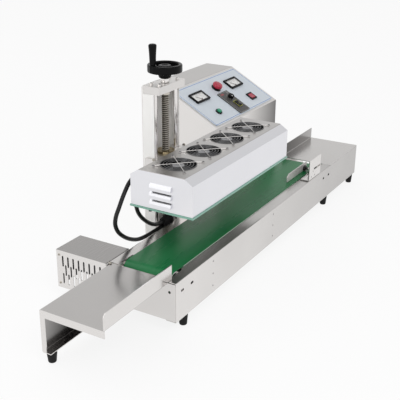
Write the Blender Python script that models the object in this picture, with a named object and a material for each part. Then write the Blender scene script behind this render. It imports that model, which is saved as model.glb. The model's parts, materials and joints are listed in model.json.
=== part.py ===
"""Tabletop induction cap sealer: belt conveyor, lifting sealing head, column and control cabinet.

Metres, +Z up, +X along the belt from infeed to outfeed, +Y towards the cabinet.
The origin lies on the tabletop, under the middle of the machine.
"""
from math import acos, atan2, cos, hypot, pi, radians, sin, tan

import bmesh
import bpy
from mathutils import Matrix, Vector

# Clearances and sheet
GAP = 0.0003
SHEET = 0.0012
BEND = 0.0008
TABLE_SHEET = 0.0015
ROUND_STEPS = 24
SMALL_STEPS = 16
HOLE_STEPS = 12

# Conveyor body
ROLLER_SETBACK = 0.034
ROLLER_SPACING = 0.603
TAIL_PLACE = ROLLER_SETBACK + ROLLER_SPACING
BODY_BEYOND = 0.197
BODY_LENGTH = TAIL_PLACE + BODY_BEYOND
BODY_WIDTH = 0.139
BODY_HEIGHT = 0.0727
FOOT_HEIGHT = 0.022
RAIL_FLANGE = 0.0225
BOTTOM_FLANGE = 0.020
BELT_NOTCH = 0.004
NOTCH_LENGTH = 0.033

# Infeed table
TABLE_REACH = 0.171
TABLE_OVERLAP = 0.009
TABLE_FRONT = 0.014
TABLE_BACK = 0.135
TABLE_DROP = 0.001
TABLE_FLANGE = 0.0275
TABLE_CHAMFER = 0.005
TABLE_LIP = 0.013
LEG_FLANGE = 0.0085
LEG_BOTTOM_FLANGE = 0.017
LEG_DROP = 0.0035

# Outfeed table
OUTFEED_SETBACK = 0.0235
OUTFEED_START = TAIL_PLACE + OUTFEED_SETBACK
OUTFEED_BACK = 0.120
OUTFEED_UPSTAND = 0.025

# Belt and rollers
BELT_THICKNESS = 0.002
BELT_RISE = 0.002
BELT_SIDE_GAP = 0.0007
ROLLER_DIAMETER = 0.038
AXLE_DIAMETER = 0.012
BEARING_WIDTH = 0.042
BEARING_HEIGHT = 0.026
BEARING_DEPTH = 0.012
TENSION_OFFSET = 0.015
TENSION_SLOT = 0.0045
BED_SHEET = 0.0015
BED_END_GAP = 0.008
BED_SIDE_GAP = 0.0012
SUPPORT_WIDTH = 0.020
SUPPORT_HEIGHT = 0.018

# Drive
MOTOR_BOX_LENGTH = 0.067
MOTOR_BOX_DEPTH = 0.108
VENT_PITCH = 0.0058
VENT_WIDTH = 0.0034
VENT_LENGTH = 0.0215
VENT_COLUMNS = 15
VENT_MARGIN = 0.013
COUPLING_DIAMETER = 0.022
COUPLING_LENGTH = 0.020
STUB_DIAMETER = 0.008
STUB_LENGTH = 0.008
SHAFT_REACH = 0.014
GEARBOX_SIZE = 0.042
GEARBOX_DEPTH = 0.030
MOTOR_DIAMETER = 0.036
MOTOR_LENGTH = 0.038
MOUNT_SHEET = 0.002

# Feet
FOOT_TOP = 0.0165
FOOT_PAST_TAIL = 0.018
FOOT_PAST_DRIVE = 0.003
FOOT_BOTTOM = 0.0135

# Column and lift
COLUMN_CENTRE = 0.2375
COLUMN_AXIS = 0.0325
COLUMN_WIDTH = 0.087
COLUMN_SHEET = 0.002
COLUMN_WEB = 0.0215
COLUMN_SIDE = 0.025
CAP_FRONT = 0.0155
CAP_HEIGHT = 0.014
CAP_TOP = 0.3517
ROD_DIAMETER = 0.009
ROD_SPACING = 0.069
SCREW_DIAMETER = 0.0145
SCREW_NECK = 0.009
BASE_BLOCK = 0.012
BASE_FLANGE = 0.003
GLAND_PLACE = 0.214
SOCKET_DEPTH = 0.005
COLLAR_DIAMETER = 0.0165
COLLAR_HEIGHT = 0.0075
WHEEL_DIAMETER = 0.064
WHEEL_CLEARANCE = 0.0088
HUB_BORE = 0.015
WHEEL_RIM_HEIGHT = 0.0145
WHEEL_RIM_WIDTH = 0.0068
WHEEL_HUB_DIAMETER = 0.024
WHEEL_HUB_DROP = 0.0105
WHEEL_SPOKES = 3
HANDLE_RADIUS = 0.0262
HANDLE_ANGLE = radians(158)
HANDLE_HEIGHT = 0.038
HANDLE_DIAMETER = 0.0135
HANDLE_PIN = 0.005

# Sealing head
HEAD_START = 0.067
HEAD_LENGTH = 0.365
HEAD_WIDTH = 0.122
HEAD_OFFSET = 0.0015
HEAD_BOTTOM = 0.1815
HEAD_SIDE = 0.0542
HEAD_HEIGHT = 0.0652
HEAD_CHAMFER = 0.017
HEAD_PLATE = 0.003
HEAD_PLATE_LIP = 0.0015
HEAD_BUMPER = 0.006
FAN_SIZE = 0.070
FAN_PITCH = 0.0853
FAN_HOLE = 0.064
FAN_DEPTH = 0.015
FAN_STRUT = 0.0025
FAN_HUB = 0.027
FAN_BLADES = 7
FAN_BOSS = 0.003
FAN_SCREW_SPAN = 0.0615
GUARD_WIRE = 0.0016
GUARD_RINGS = 3
GUARD_PITCH = 0.0085
GUARD_STEPS = 14
LOUVRE_WIDTH = 0.042
LOUVRE_HEIGHT = 0.009
LOUVRE_PITCH = 0.0145
LOUVRE_LOW = 0.0125
LOUVRE_BULGE = 0.0045
LOUVRE_COUNT = 3
COIL_LENGTH = 0.300
COIL_WIDTH = 0.090
COIL_BAND = 0.024
COIL_HEIGHT = 0.012
CARRIAGE_DROP = 0.0277
CARRIAGE_HEIGHT = 0.020
CHEEK_REACH = 0.008
CHEEK_SHEET = 0.006
BAR_DEPTH = 0.020
ARM_WIDTH = 0.056
ARM_FLANGE = 0.080
FLANGE_SHEET = 0.0037
FLANGE_DROP = 0.009
FLANGE_RISE = 0.012
NUT_DIAMETER = 0.024
NUT_FLANGE = 0.034
NUT_FLANGE_HEIGHT = 0.004

# Cables between the head and the column foot
CABLE_DIAMETER = 0.0075
CABLE_STEPS = 36
CABLE_LINE = 0.011
CABLE_SOCKET = 0.005
HEAD_GLAND_OUTER = (0.115, 0.214)
HEAD_GLAND_INNER = (0.105, 0.197)
ELBOW_DIAMETER = 0.0125
CABLE_STRAIGHT = 0.012
CABLE_OUTER_ROUTE = ((0.097, 0.2132), (0.085, 0.2065), (0.070, 0.191), (0.057, 0.174), (0.047, 0.160),
                     (0.0445, 0.146), (0.052, 0.130), (0.069, 0.114), (0.090, 0.101), (0.112, 0.0925),
                     (0.136, 0.0892), (0.160, 0.0886))
CABLE_INNER_ROUTE = ((0.105, 0.179), (0.1055, 0.169), (0.1075, 0.158), (0.113, 0.144), (0.124, 0.130),
                     (0.140, 0.116), (0.157, 0.105), (0.171, 0.0995))
GLAND_RUN = 0.1805
GLAND_LEVELS = (-0.0061, 0.0034)
GLAND_LENGTH = 0.024

# Control cabinet
CABINET_START = 0.427
CABINET_WIDTH = 0.283
CABINET_GAP = 0.026
CABINET_DEPTH = 0.190
CABINET_FRONT_TOP = 0.2137
CABINET_TOP = 0.2797
CABINET_FLAT = 0.070
CABINET_SHEET = 0.0015
BACK_REACH = 0.011
INLET_INSET = 0.045
INLET_LEVEL = 0.040
INLET_WIDTH = 0.048
INLET_HEIGHT = 0.031
INLET_CORNER = 0.005
INLET_DEPTH = 0.020
INLET_RISE = 0.003
INLET_WALL = 0.007
PIN_WIDTH = 0.002
PIN_PITCH = 0.007
FUSE_OFFSET = 0.050
FUSE_DIAMETER = 0.014
BACK_VENTS = 6
BACK_VENT_START = 0.060
BACK_VENT_PITCH = 0.012
BACK_VENT_DROP = 0.060
BACK_VENT_LENGTH = 0.045
BACK_VENT_WIDTH = 0.004
DRAWN_WIDTH = 0.283
DRAWN_SLOPE = 0.13695
SPACER_INSET = 0.030
SPACER_WIDTH = 0.022
SPACER_DROP = 0.012
SPACER_HEIGHT = 0.024
PANEL_SHEET = 0.001
PANEL_MARGIN = 0.0065
PANEL_CORNER = 0.010
PANEL_LEDGE = 0.008
METER_WIDTH = 0.053
METER_HEIGHT = 0.0285
METER_RISE = 0.004
METER_DEPTH = 0.022
METER_BORDER = 0.0035
METER_LEFT_SPOT = (0.0565, 0.0905)
METER_RIGHT_SPOT = (0.2105, 0.0905)
METER_NECK = 0.006
METER_FLOOR = 0.0014
NEEDLE_LENGTH = 0.0155
NEEDLE_REST = radians(45)
ESTOP_SPOT = (0.1385, 0.0965)
ESTOP_DIAMETER = 0.023
ESTOP_TRAVEL = 0.003
ESTOP_STEM = 0.010
START_SPOT = (0.0595, 0.0365)
START_DIAMETER = 0.0135
START_COLLAR = 0.003
ESTOP_COLLAR = 0.002
START_TRAVEL = 0.0025
CONTROLLER_SPOT = (0.1375, 0.0435)
CONTROLLER_WIDTH = 0.0435
CONTROLLER_HEIGHT = 0.0695
CONTROLLER_RISE = 0.0025
KNOB_SPOT = (0.1430, 0.0575)
KNOB_DIAMETER = 0.014
KNOB_HEIGHT = 0.0065
KNOB_SHAFT = 0.006
RUN_SPOT = (0.1400, 0.0335)
RUN_WIDTH = 0.0150
RUN_HEIGHT = 0.0205
POWER_SPOT = (0.2150, 0.0370)
POWER_WIDTH = 0.0235
POWER_HEIGHT = 0.0215
ROCKER_BORDER = 0.003
ROCKER_THROW = radians(9)

# Guide at the outfeed end of the belt
GUIDE_BEFORE_TAIL = 0.135
BRACKET_BEFORE_TAIL = 0.101
ROD_BEFORE_TAIL = 0.047
GUIDE_START = TAIL_PLACE - GUIDE_BEFORE_TAIL
GUIDE_LENGTH = 0.104
GUIDE_LINE = 0.0355
GUIDE_HEIGHT = 0.0165
GUIDE_LIFT = 0.0008
BRACKET_START = TAIL_PLACE - BRACKET_BEFORE_TAIL
BRACKET_LENGTH = 0.062
BRACKET_HEIGHT = 0.045
BRACKET_FOOT = 0.020
BRACKET_SHEET = 0.002
SLOT_LENGTH = 0.035
SLOT_WIDTH = 0.0045
GUIDE_ROD = 0.006
GUIDE_ROD_PLACE = TAIL_PLACE - ROD_BEFORE_TAIL
GUIDE_ROD_LEVEL = 0.0815
GUIDE_BLOCK = 0.016
GUIDE_KNOB = 0.010
STUD_DIAMETER = 0.004

# Planes that the pieces share
TOTAL_LENGTH = TABLE_REACH + BODY_LENGTH
MACHINE_DEPTH = BODY_WIDTH + CABINET_GAP + CABINET_DEPTH
X_TABLE = -TOTAL_LENGTH / 2
X_IN = X_TABLE + TABLE_REACH
X_OUT = X_IN + BODY_LENGTH
Y_FRONT = -(MACHINE_DEPTH + BACK_REACH) / 2
Y_REAR = Y_FRONT + BODY_WIDTH
Y_BACK = Y_FRONT + MACHINE_DEPTH
Z_BASE = FOOT_HEIGHT
Z_RAIL = Z_BASE + BODY_HEIGHT
Z_BELT = Z_RAIL + BELT_RISE
X_DRIVE = X_IN + ROLLER_SETBACK
X_TAIL = X_DRIVE + ROLLER_SPACING
Z_AXLE = Z_BELT - BELT_THICKNESS - GAP - ROLLER_DIAMETER / 2
Y_MIDDLE = Y_FRONT + BODY_WIDTH / 2
X_COLUMN = X_IN + COLUMN_CENTRE
Y_COLUMN = Y_REAR + COLUMN_AXIS
X_HEAD = X_IN + HEAD_START
HEAD_CENTRE = X_HEAD + HEAD_LENGTH / 2
Y_HEAD = Y_MIDDLE + HEAD_OFFSET
Z_HEAD_TOP = HEAD_BOTTOM + HEAD_HEIGHT
X_CABINET = X_IN + CABINET_START
Y_CABINET = Y_REAR + CABINET_GAP
CLEAR = 2 * GAP


# Shapes as bmesh

def rounded(points, radius, steps=3):
    """Outline with each corner turned to an arc; radius is one number, or one for each corner."""
    radii = radius if isinstance(radius, (list, tuple)) else [radius] * len(points)
    outline = []
    for i, (point, r) in enumerate(zip(points, radii)):
        corner = Vector(point)
        if r <= 0:
            outline.append(tuple(corner))
            continue
        back = (Vector(points[i - 1]) - corner).normalized()
        ahead = (Vector(points[(i + 1) % len(points)]) - corner).normalized()
        half = acos(max(-1.0, min(1.0, back.dot(ahead)))) / 2
        middle = corner + (back + ahead).normalized() * (r / sin(half))
        start = corner + back * (r / tan(half)) - middle
        turn = start.angle_signed(corner + ahead * (r / tan(half)) - middle)
        for k in range(steps + 1):
            angle = -turn * k / steps
            x = start.x * cos(angle) - start.y * sin(angle)
            y = start.x * sin(angle) + start.y * cos(angle)
            outline.append((middle.x + x, middle.y + y))
    return outline


def rectangle(low, high):
    """Outline between two opposite corners."""
    return [(low[0], low[1]), (high[0], low[1]), (high[0], high[1]), (low[0], high[1])]


def circle(centre, diameter, steps=HOLE_STEPS):
    """Round outline."""
    r = diameter / 2
    return [(centre[0] + r * cos(2 * pi * k / steps), centre[1] + r * sin(2 * pi * k / steps))
            for k in range(steps)]


def slot_outline(centre, length, width, upright=False, steps=4):
    """Slot with round ends, along the outline's first axis, or along its second if upright."""
    reach = (length - width) / 2
    points = []
    for side, start in ((1, -pi / 2), (-1, pi / 2)):
        for k in range(steps + 1):
            angle = start + pi * k / steps
            points.append((side * reach + width / 2 * cos(angle), width / 2 * sin(angle)))
    if upright:
        points = [(-y, x) for x, y in points]
    return [(centre[0] + x, centre[1] + y) for x, y in points]


def inset(points, distance):
    """Outline, listed counterclockwise, moved inwards by a distance."""
    result = []
    for i, point in enumerate(points):
        corner = Vector(point)
        before = (corner - Vector(points[i - 1])).normalized()
        after = (Vector(points[(i + 1) % len(points)]) - corner).normalized()
        sides = Vector((-before.y, before.x)), Vector((-after.y, after.x))
        mitre = (sides[0] + sides[1]).normalized()
        result.append(tuple(corner + mitre * (distance / mitre.dot(sides[1]))))
    return result


def fold(path, sheet, bend=BEND, steps=3):
    """Section of a sheet folded along its outer line, with the metal on the left of the path."""
    line = [Vector(p) for p in path]
    ways = [(b - a).normalized() for a, b in zip(line, line[1:])]
    sides = [Vector((-w.y, w.x)) for w in ways]
    inner = [line[0] + sides[0] * sheet]
    outer_radii, inner_radii = [0.0], [0.0]
    for i in range(1, len(line) - 1):
        mitre = (sides[i - 1] + sides[i]).normalized()
        inner.append(line[i] + mitre * (sheet / mitre.dot(sides[i])))
        turn = ways[i - 1].cross(ways[i])
        outer_radii.append(bend + sheet if turn > 0 else bend)
        inner_radii.append(bend if turn > 0 else bend + sheet)
    inner.append(line[-1] + sides[-1] * sheet)
    outer_radii.append(0.0)
    inner_radii.append(0.0)
    points = [tuple(p) for p in line] + [tuple(p) for p in reversed(inner)]
    return rounded(points, outer_radii + inner_radii[::-1], steps)


def along(axis, a, b, level):
    """Point whose section coordinates are a and b, at a level along the named axis."""
    return {"X": (level, a, b), "Y": (a, level, b), "Z": (a, b, level)}[axis]


def prism(outline, axis, low, high):
    """Outline extruded between two levels along an axis."""
    bm = bmesh.new()
    ends = [[bm.verts.new(along(axis, a, b, level)) for a, b in outline] for level in (low, high)]
    for end in ends:
        bm.faces.new(end)
    count = len(outline)
    for i in range(count):
        j = (i + 1) % count
        bm.faces.new((ends[0][i], ends[0][j], ends[1][j], ends[1][i]))
    bmesh.ops.recalc_face_normals(bm, faces=bm.faces)
    return bm


def block(low, high):
    """Box between two opposite corners."""
    return prism(rectangle(low[:2], high[:2]), "Z", low[2], high[2])


def turned(profile, centre, axis="Z", steps=ROUND_STEPS, closed=False):
    """Profile of (radius, height) points spun about an axis; a closed profile makes a ring."""
    bm = bmesh.new()
    rings = []
    for radius, height in profile:
        if radius < 1e-6:
            rings.append([bm.verts.new(spun(centre, axis, 0.0, 0.0, height))] * steps)
        else:
            rings.append([bm.verts.new(spun(centre, axis, radius, 2 * pi * k / steps, height))
                          for k in range(steps)])
    pairs = list(zip(rings, rings[1:] + rings[:1])) if closed else list(zip(rings, rings[1:]))
    for lower, upper in pairs:
        for k in range(steps):
            n = (k + 1) % steps
            corners = []
            for vert in (lower[k], lower[n], upper[n], upper[k]):
                if vert not in corners:
                    corners.append(vert)
            if len(corners) > 2:
                bm.faces.new(corners)
    bmesh.ops.recalc_face_normals(bm, faces=bm.faces)
    return bm


def spun(centre, axis, radius, angle, height):
    """Point at a radius and angle round an axis through the centre."""
    a, b = radius * cos(angle), radius * sin(angle)
    shift = {"X": (height, a, b), "Y": (a, height, b), "Z": (a, b, height)}[axis]
    return tuple(c + s for c, s in zip(centre, shift))


def rod(centre, axis, diameter, low, high, steps=ROUND_STEPS, chamfer=0.0):
    """Round bar between two heights, with chamfered ends."""
    r = diameter / 2
    if chamfer <= 0:
        profile = [(0, low), (r, low), (r, high), (0, high)]
    else:
        profile = [(0, low), (r - chamfer, low), (r, low + chamfer), (r, high - chamfer),
                   (r - chamfer, high), (0, high)]
    return turned(profile, centre, axis, steps)


def merged(*shapes):
    """Several bmesh shapes in one."""
    mesh = bpy.data.meshes.new("merged")
    result = bmesh.new()
    for shape in shapes:
        shape.to_mesh(mesh)
        shape.free()
        result.from_mesh(mesh)
    bpy.data.meshes.remove(mesh)
    return result


def moved(bm, matrix):
    """The shape carried by a matrix."""
    bmesh.ops.transform(bm, matrix=matrix, verts=bm.verts)
    return bm


# Objects, materials and Booleans

MATERIALS = {
    "stainless": ((0.62, 0.61, 0.60), 0.28, 1.0),
    "bright_steel": ((0.72, 0.72, 0.72), 0.15, 1.0),
    "head_shell": ((0.66, 0.65, 0.64), 0.35, 0.8),
    "belt_green": ((0.035, 0.19, 0.085), 0.22, 0.0),
    "rubber_black": ((0.015, 0.015, 0.015), 0.7, 0.0),
    "bakelite_black": ((0.01, 0.01, 0.01), 0.25, 0.0),
    "cable_black": ((0.012, 0.012, 0.012), 0.45, 0.0),
    "brass": ((0.62, 0.46, 0.20), 0.3, 1.0),
    "glass_green": ((0.35, 0.55, 0.48), 0.15, 0.0),
    "copper": ((0.60, 0.30, 0.16), 0.4, 1.0),
    "panel_grey": ((0.52, 0.57, 0.61), 0.4, 0.0),
    "meter_black": ((0.01, 0.01, 0.01), 0.3, 0.0),
    "needle_red": ((0.45, 0.03, 0.03), 0.4, 0.0),
    "button_red": ((0.50, 0.01, 0.03), 0.3, 0.0),
    "button_green": ((0.03, 0.32, 0.18), 0.3, 0.0),
    "fan_black": ((0.02, 0.02, 0.02), 0.5, 0.0),
    "motor_grey": ((0.20, 0.20, 0.21), 0.45, 0.3),
}


def material(name):
    """Principled material from the table above."""
    found = bpy.data.materials.get(name)
    if found:
        return found
    colour, roughness, metallic = MATERIALS[name]
    made = bpy.data.materials.new(name)
    made.use_nodes = True
    shader = made.node_tree.nodes["Principled BSDF"]
    shader.inputs["Base Color"].default_value = (*colour, 1.0)
    shader.inputs["Roughness"].default_value = roughness
    shader.inputs["Metallic"].default_value = metallic
    return made


def make_object(name, bm, matrix):
    """Object whose mesh is the shape, seen from its own origin."""
    moved(bm, matrix.inverted())
    mesh = bpy.data.meshes.new(name)
    bm.to_mesh(mesh)
    bm.free()
    made = bpy.data.objects.new(name, mesh)
    made.matrix_world = matrix
    bpy.context.scene.collection.objects.link(made)
    return made


def boolean(target, bm, operation):
    """Live Boolean modifier with its own hidden cutter."""
    tool = make_object(f"{target.name}_{operation.lower()}_{len(target.modifiers) + 1}", bm, Matrix())
    tool.hide_render = True
    tool.display_type = "WIRE"
    modifier = target.modifiers.new(operation.title(), "BOOLEAN")
    modifier.operation = operation
    modifier.solver = "EXACT"
    modifier.object = tool


def piece(name, bm, finish, joins=(), cuts=(), later=(), at=(0, 0, 0), frame=None, parent=None):
    """One named sub-part: a shape, what is joined to it, cut from it and joined last, and its origin."""
    matrix = frame if frame is not None else Matrix.Translation(at)
    made = make_object(name, bm, matrix)
    made.data.materials.append(material(finish))
    made.data.shade_smooth()
    made.data.set_sharp_from_angle(angle=radians(35))
    for shape in joins:
        boolean(made, shape, "UNION")
    for shape in cuts:
        boolean(made, shape, "DIFFERENCE")
    for shape in later:
        boolean(made, shape, "UNION")
    if parent is not None:
        made.parent = parent
        made.matrix_parent_inverse = parent.matrix_world.inverted()
    return made


def carrier(name, place=(0, 0, 0), parent=None):
    """Empty that carries the pieces of one moving group, on its joint's axis."""
    empty = bpy.data.objects.new(name, None)
    empty.matrix_world = Matrix.Translation(place)
    bpy.context.scene.collection.objects.link(empty)
    if parent is not None:
        empty.parent = parent
        empty.matrix_parent_inverse = parent.matrix_world.inverted()
    return empty


# Conveyor body

def side_panel(name, face, inward, base):
    """Folded side of the conveyor: top rail flange, web and bottom flange, open at the belt ends."""
    flange = face + inward * RAIL_FLANGE
    path = [(flange, Z_RAIL), (face, Z_RAIL), (face, Z_BASE), (face + inward * BOTTOM_FLANGE, Z_BASE)]
    if inward < 0:
        path = [(a, b) for a, b in reversed(path)]
    shape = prism(fold(path, SHEET), "X", X_IN, X_OUT)
    table_edge = TABLE_FRONT if inward > 0 else BODY_WIDTH - TABLE_BACK
    over = SHEET
    cuts = [
        flange_cut(face, inward, table_edge - CLEAR, X_IN - over, X_IN + TABLE_OVERLAP + CLEAR),
        flange_cut(face, inward, RAIL_FLANGE - BELT_NOTCH, X_DRIVE - NOTCH_LENGTH / 2,
                   X_DRIVE + NOTCH_LENGTH / 2),
        flange_cut(face, inward, RAIL_FLANGE - BELT_NOTCH, X_TAIL - NOTCH_LENGTH / 2,
                   X_IN + OUTFEED_START - CLEAR),
    ]
    outfeed = X_IN + OUTFEED_START - CLEAR
    if inward > 0:
        cuts.append(block((outfeed, face - over, Z_RAIL - SHEET - GAP),
                          (X_OUT + over, face + RAIL_FLANGE + over, Z_RAIL + over)))
    else:
        cuts.append(flange_cut(face, inward, BODY_WIDTH - OUTFEED_BACK - SHEET - GAP, outfeed, X_OUT + over))
    web = (min(face, face + inward * SHEET) - over, max(face, face + inward * SHEET) + over)
    for x in (X_DRIVE, X_TAIL):
        for side in (-1, 1):
            place = (x + side * TENSION_OFFSET, Z_AXLE)
            cuts.append(prism(slot_outline(place, 2 * TENSION_SLOT, TENSION_SLOT), "Y", *web))
    if inward < 0:
        cuts.append(prism(circle((X_DRIVE, Z_AXLE), AXLE_DIAMETER + 0.004), "Y", *web))
    bearings = []
    for x in (X_DRIVE, X_TAIL):
        bearings.append(bearing(x, face, inward))
        reach = sorted((face + inward * SHEET, face + inward * (SHEET + BEARING_DEPTH + over)))
        cuts.append(prism(circle((x, Z_AXLE), AXLE_DIAMETER + CLEAR, SMALL_STEPS), "Y", *reach))
    return piece(name, shape, "stainless", joins=bearings, cuts=cuts, parent=base)


def bearing(x, face, inward):
    """Flanged bearing block of a roller, bolted inside the web."""
    reach = sorted((face + inward * SHEET / 2, face + inward * (SHEET + BEARING_DEPTH)))
    low = (x - BEARING_WIDTH / 2, Z_AXLE - BEARING_HEIGHT / 2)
    high = (x + BEARING_WIDTH / 2, Z_AXLE + BEARING_HEIGHT / 2)
    return prism(rounded(rectangle(low, high), 0.004), "Y", *reach)


def flange_cut(face, inward, keep, x_low, x_high):
    """Cutter that shortens the top flange to the width kept, between two places along the belt."""
    ends = sorted((face + inward * keep, face + inward * (RAIL_FLANGE + SHEET)))
    return block((x_low, ends[0], Z_RAIL - 3 * SHEET), (x_high, ends[1], Z_RAIL + SHEET))


def infeed_end_plate(base):
    """Folded plate that closes the infeed end between the two webs."""
    front, rear = Y_FRONT + SHEET + GAP, Y_REAR - SHEET - GAP
    flange = X_DRIVE - BEARING_WIDTH / 2 - 0.001
    path = [(flange, rear), (X_IN, rear), (X_IN, front), (flange, front)]
    top = Z_RAIL - TABLE_DROP - TABLE_SHEET - GAP
    shape = prism(fold(path, SHEET), "Z", Z_BASE + SHEET + GAP, top)
    hole = prism(circle((Y_FRONT + 0.013, Z_BASE + 0.054), 0.005), "X", X_IN - SHEET, X_IN + 2 * SHEET)
    return piece("infeed_end_plate", shape, "stainless", cuts=[hole], parent=base)


def infeed_table(base):
    """One folded sheet: upstand in front, top, leg behind with its flanges, and a lip at the near end."""
    top = Z_RAIL - TABLE_DROP
    front, back = Y_FRONT + TABLE_FRONT + TABLE_SHEET, Y_FRONT + TABLE_BACK
    low = Z_BASE - LEG_DROP
    end = X_IN + TABLE_OVERLAP
    path = [(back - LEG_BOTTOM_FLANGE, low), (back, low), (back, top), (front, top),
            (front, top + TABLE_FLANGE)]
    shape = prism(fold(path, TABLE_SHEET), "X", X_TABLE, end)
    lip = block((X_TABLE, front - TABLE_SHEET, top - TABLE_LIP),
                (X_TABLE + TABLE_SHEET, back - TABLE_SHEET / 2, top - TABLE_SHEET / 2))
    leg_flange = block((X_TABLE, back - LEG_FLANGE, low + TABLE_SHEET / 2),
                       (X_TABLE + TABLE_SHEET, back - TABLE_SHEET / 2, top - TABLE_SHEET / 2))
    past = 2 * TABLE_SHEET
    under_body = block((X_IN - CLEAR, back - LEG_BOTTOM_FLANGE - past, low - past),
                       (end + past, back + past, top - TABLE_SHEET - GAP / 2))
    corner_top = top + TABLE_FLANGE
    chamfer = prism([(X_TABLE - past, corner_top - TABLE_CHAMFER - past),
                     (X_TABLE + TABLE_CHAMFER + past, corner_top + past),
                     (X_TABLE - past, corner_top + past)], "Y", front - past, front + past)
    return piece("infeed_table", shape, "stainless", joins=[lip, leg_flange], cuts=[under_body, chamfer],
                 parent=base)


def outfeed_table(base):
    """One folded sheet: top, upstand behind it and an apron that closes the outfeed end."""
    back = Y_FRONT + OUTFEED_BACK
    start = X_IN + OUTFEED_START
    path = [(back, Z_RAIL + OUTFEED_UPSTAND), (back, Z_RAIL), (Y_FRONT, Z_RAIL)]
    shape = prism(fold(path, SHEET), "X", start, X_OUT)
    apron = block((X_OUT - SHEET, Y_FRONT + SHEET + GAP, Z_BASE + SHEET + GAP),
                  (X_OUT, back - SHEET, Z_RAIL - SHEET / 2))
    return piece("outfeed_table", shape, "stainless", joins=[apron], parent=base)


def conveyor_belt(base):
    """Endless belt round both rollers."""
    centre = ((X_DRIVE + X_TAIL) / 2, Z_AXLE)
    inner = ROLLER_DIAMETER + CLEAR
    outer = inner + 2 * BELT_THICKNESS
    low = Y_FRONT + RAIL_FLANGE + BELT_SIDE_GAP
    high = Y_REAR - RAIL_FLANGE - BELT_SIDE_GAP
    shape = prism(slot_outline(centre, ROLLER_SPACING + outer, outer, steps=14), "Y", low, high)
    inside = prism(slot_outline(centre, ROLLER_SPACING + inner, inner, steps=14), "Y",
                   low - SHEET, high + SHEET)
    return piece("conveyor_belt", shape, "belt_green", cuts=[inside], parent=base)


def roller(name, x, driven, parent):
    """Turned roller with its axle ends; the driven one reaches through the back web."""
    half = (BODY_WIDTH / 2 - RAIL_FLANGE - BED_SIDE_GAP)
    reach = BODY_WIDTH / 2 - SHEET - CLEAR
    back = BODY_WIDTH / 2 + SHAFT_REACH if driven else reach
    r, a = ROLLER_DIAMETER / 2, AXLE_DIAMETER / 2
    profile = [(0, -reach), (a, -reach), (a, -half), (r - 0.001, -half), (r, -half + 0.001),
               (r, half - 0.001), (r - 0.001, half), (a, half), (a, back), (0, back)]
    centre = (x, Y_MIDDLE, Z_AXLE)
    return piece(name, turned(profile, centre, "Y"), "bright_steel", at=centre, parent=parent)


def belt_bed(base):
    """Slider bed under the carrying run, on two cross channels between the webs."""
    top = Z_BELT - BELT_THICKNESS - GAP
    leg = top - 0.014
    front = Y_FRONT + RAIL_FLANGE + BED_SIDE_GAP
    back = Y_REAR - RAIL_FLANGE - BED_SIDE_GAP
    clear = ROLLER_DIAMETER / 2 + BED_END_GAP
    start, end = X_DRIVE + clear, X_TAIL - clear
    path = [(back, leg), (back, top), (front, top), (front, leg)]
    shape = prism(fold(path, BED_SHEET), "X", start, end)
    supports = []
    for share in (0.22, 0.78):
        x = start + (end - start) * share
        low, high = leg - SUPPORT_HEIGHT, leg + BED_SHEET
        path = [(x + SUPPORT_WIDTH / 2, low), (x + SUPPORT_WIDTH / 2, high), (x - SUPPORT_WIDTH / 2, high),
                (x - SUPPORT_WIDTH / 2, low)]
        supports.append(prism(fold(path, BED_SHEET), "Y", Y_FRONT + SHEET + GAP, Y_REAR - SHEET - GAP))
    return piece("belt_bed", shape, "stainless", joins=supports, parent=base)


# Drive

def shaft_coupling(parent):
    """Coupling on the drive roller's shaft, with the stub that enters the gearbox."""
    front = Y_REAR + SHEET + 0.002
    bore = Y_REAR + SHAFT_REACH + GAP
    rear = front + COUPLING_LENGTH
    r, b, s = COUPLING_DIAMETER / 2, AXLE_DIAMETER / 2 + GAP, STUB_DIAMETER / 2
    profile = [(0, bore), (b, bore), (b, front), (r - 0.001, front), (r, front + 0.001),
               (r, rear - 0.001), (r - 0.001, rear), (s, rear), (s, rear + STUB_LENGTH),
               (0, rear + STUB_LENGTH)]
    centre = (X_DRIVE, 0, Z_AXLE)
    return piece("shaft_coupling", turned(profile, centre, "Y", SMALL_STEPS), "bright_steel",
                 at=(X_DRIVE, front, Z_AXLE), parent=parent)


def gear_motor(base):
    """Square gearbox with the round motor behind it."""
    front = Y_REAR + SHEET + 0.002 + COUPLING_LENGTH + 0.002
    rear = front + GEARBOX_DEPTH
    half = GEARBOX_SIZE / 2
    outline = rounded(rectangle((X_DRIVE - half, Z_AXLE - half), (X_DRIVE + half, Z_AXLE + half * 0.8)),
                      0.003)
    shape = prism(outline, "Y", front, rear)
    level = Z_AXLE - half + MOTOR_DIAMETER / 2 + 0.001
    motor = rod((X_DRIVE, 0, level), "Y", MOTOR_DIAMETER, rear - 0.002, rear + MOTOR_LENGTH, 28, 0.002)
    bore = rod((X_DRIVE, 0, Z_AXLE), "Y", STUB_DIAMETER + CLEAR, front - 0.002, front + STUB_LENGTH, 16)
    return piece("gear_motor", shape, "motor_grey", joins=[motor], cuts=[bore], parent=base)


def motor_mount(base):
    """Angle bracket on the back web that the gearbox stands on."""
    level = Z_AXLE - GEARBOX_SIZE / 2 - GAP
    front = Y_REAR + GAP
    rear = Y_REAR + SHEET + 0.004 + COUPLING_LENGTH + GEARBOX_DEPTH
    path = [(rear, level), (front, level), (front, Z_BASE + 0.006)]
    shape = prism(fold(path, MOUNT_SHEET), "X", X_DRIVE - 0.017, X_DRIVE + 0.017)
    return piece("motor_mount", shape, "stainless", parent=base)


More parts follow.
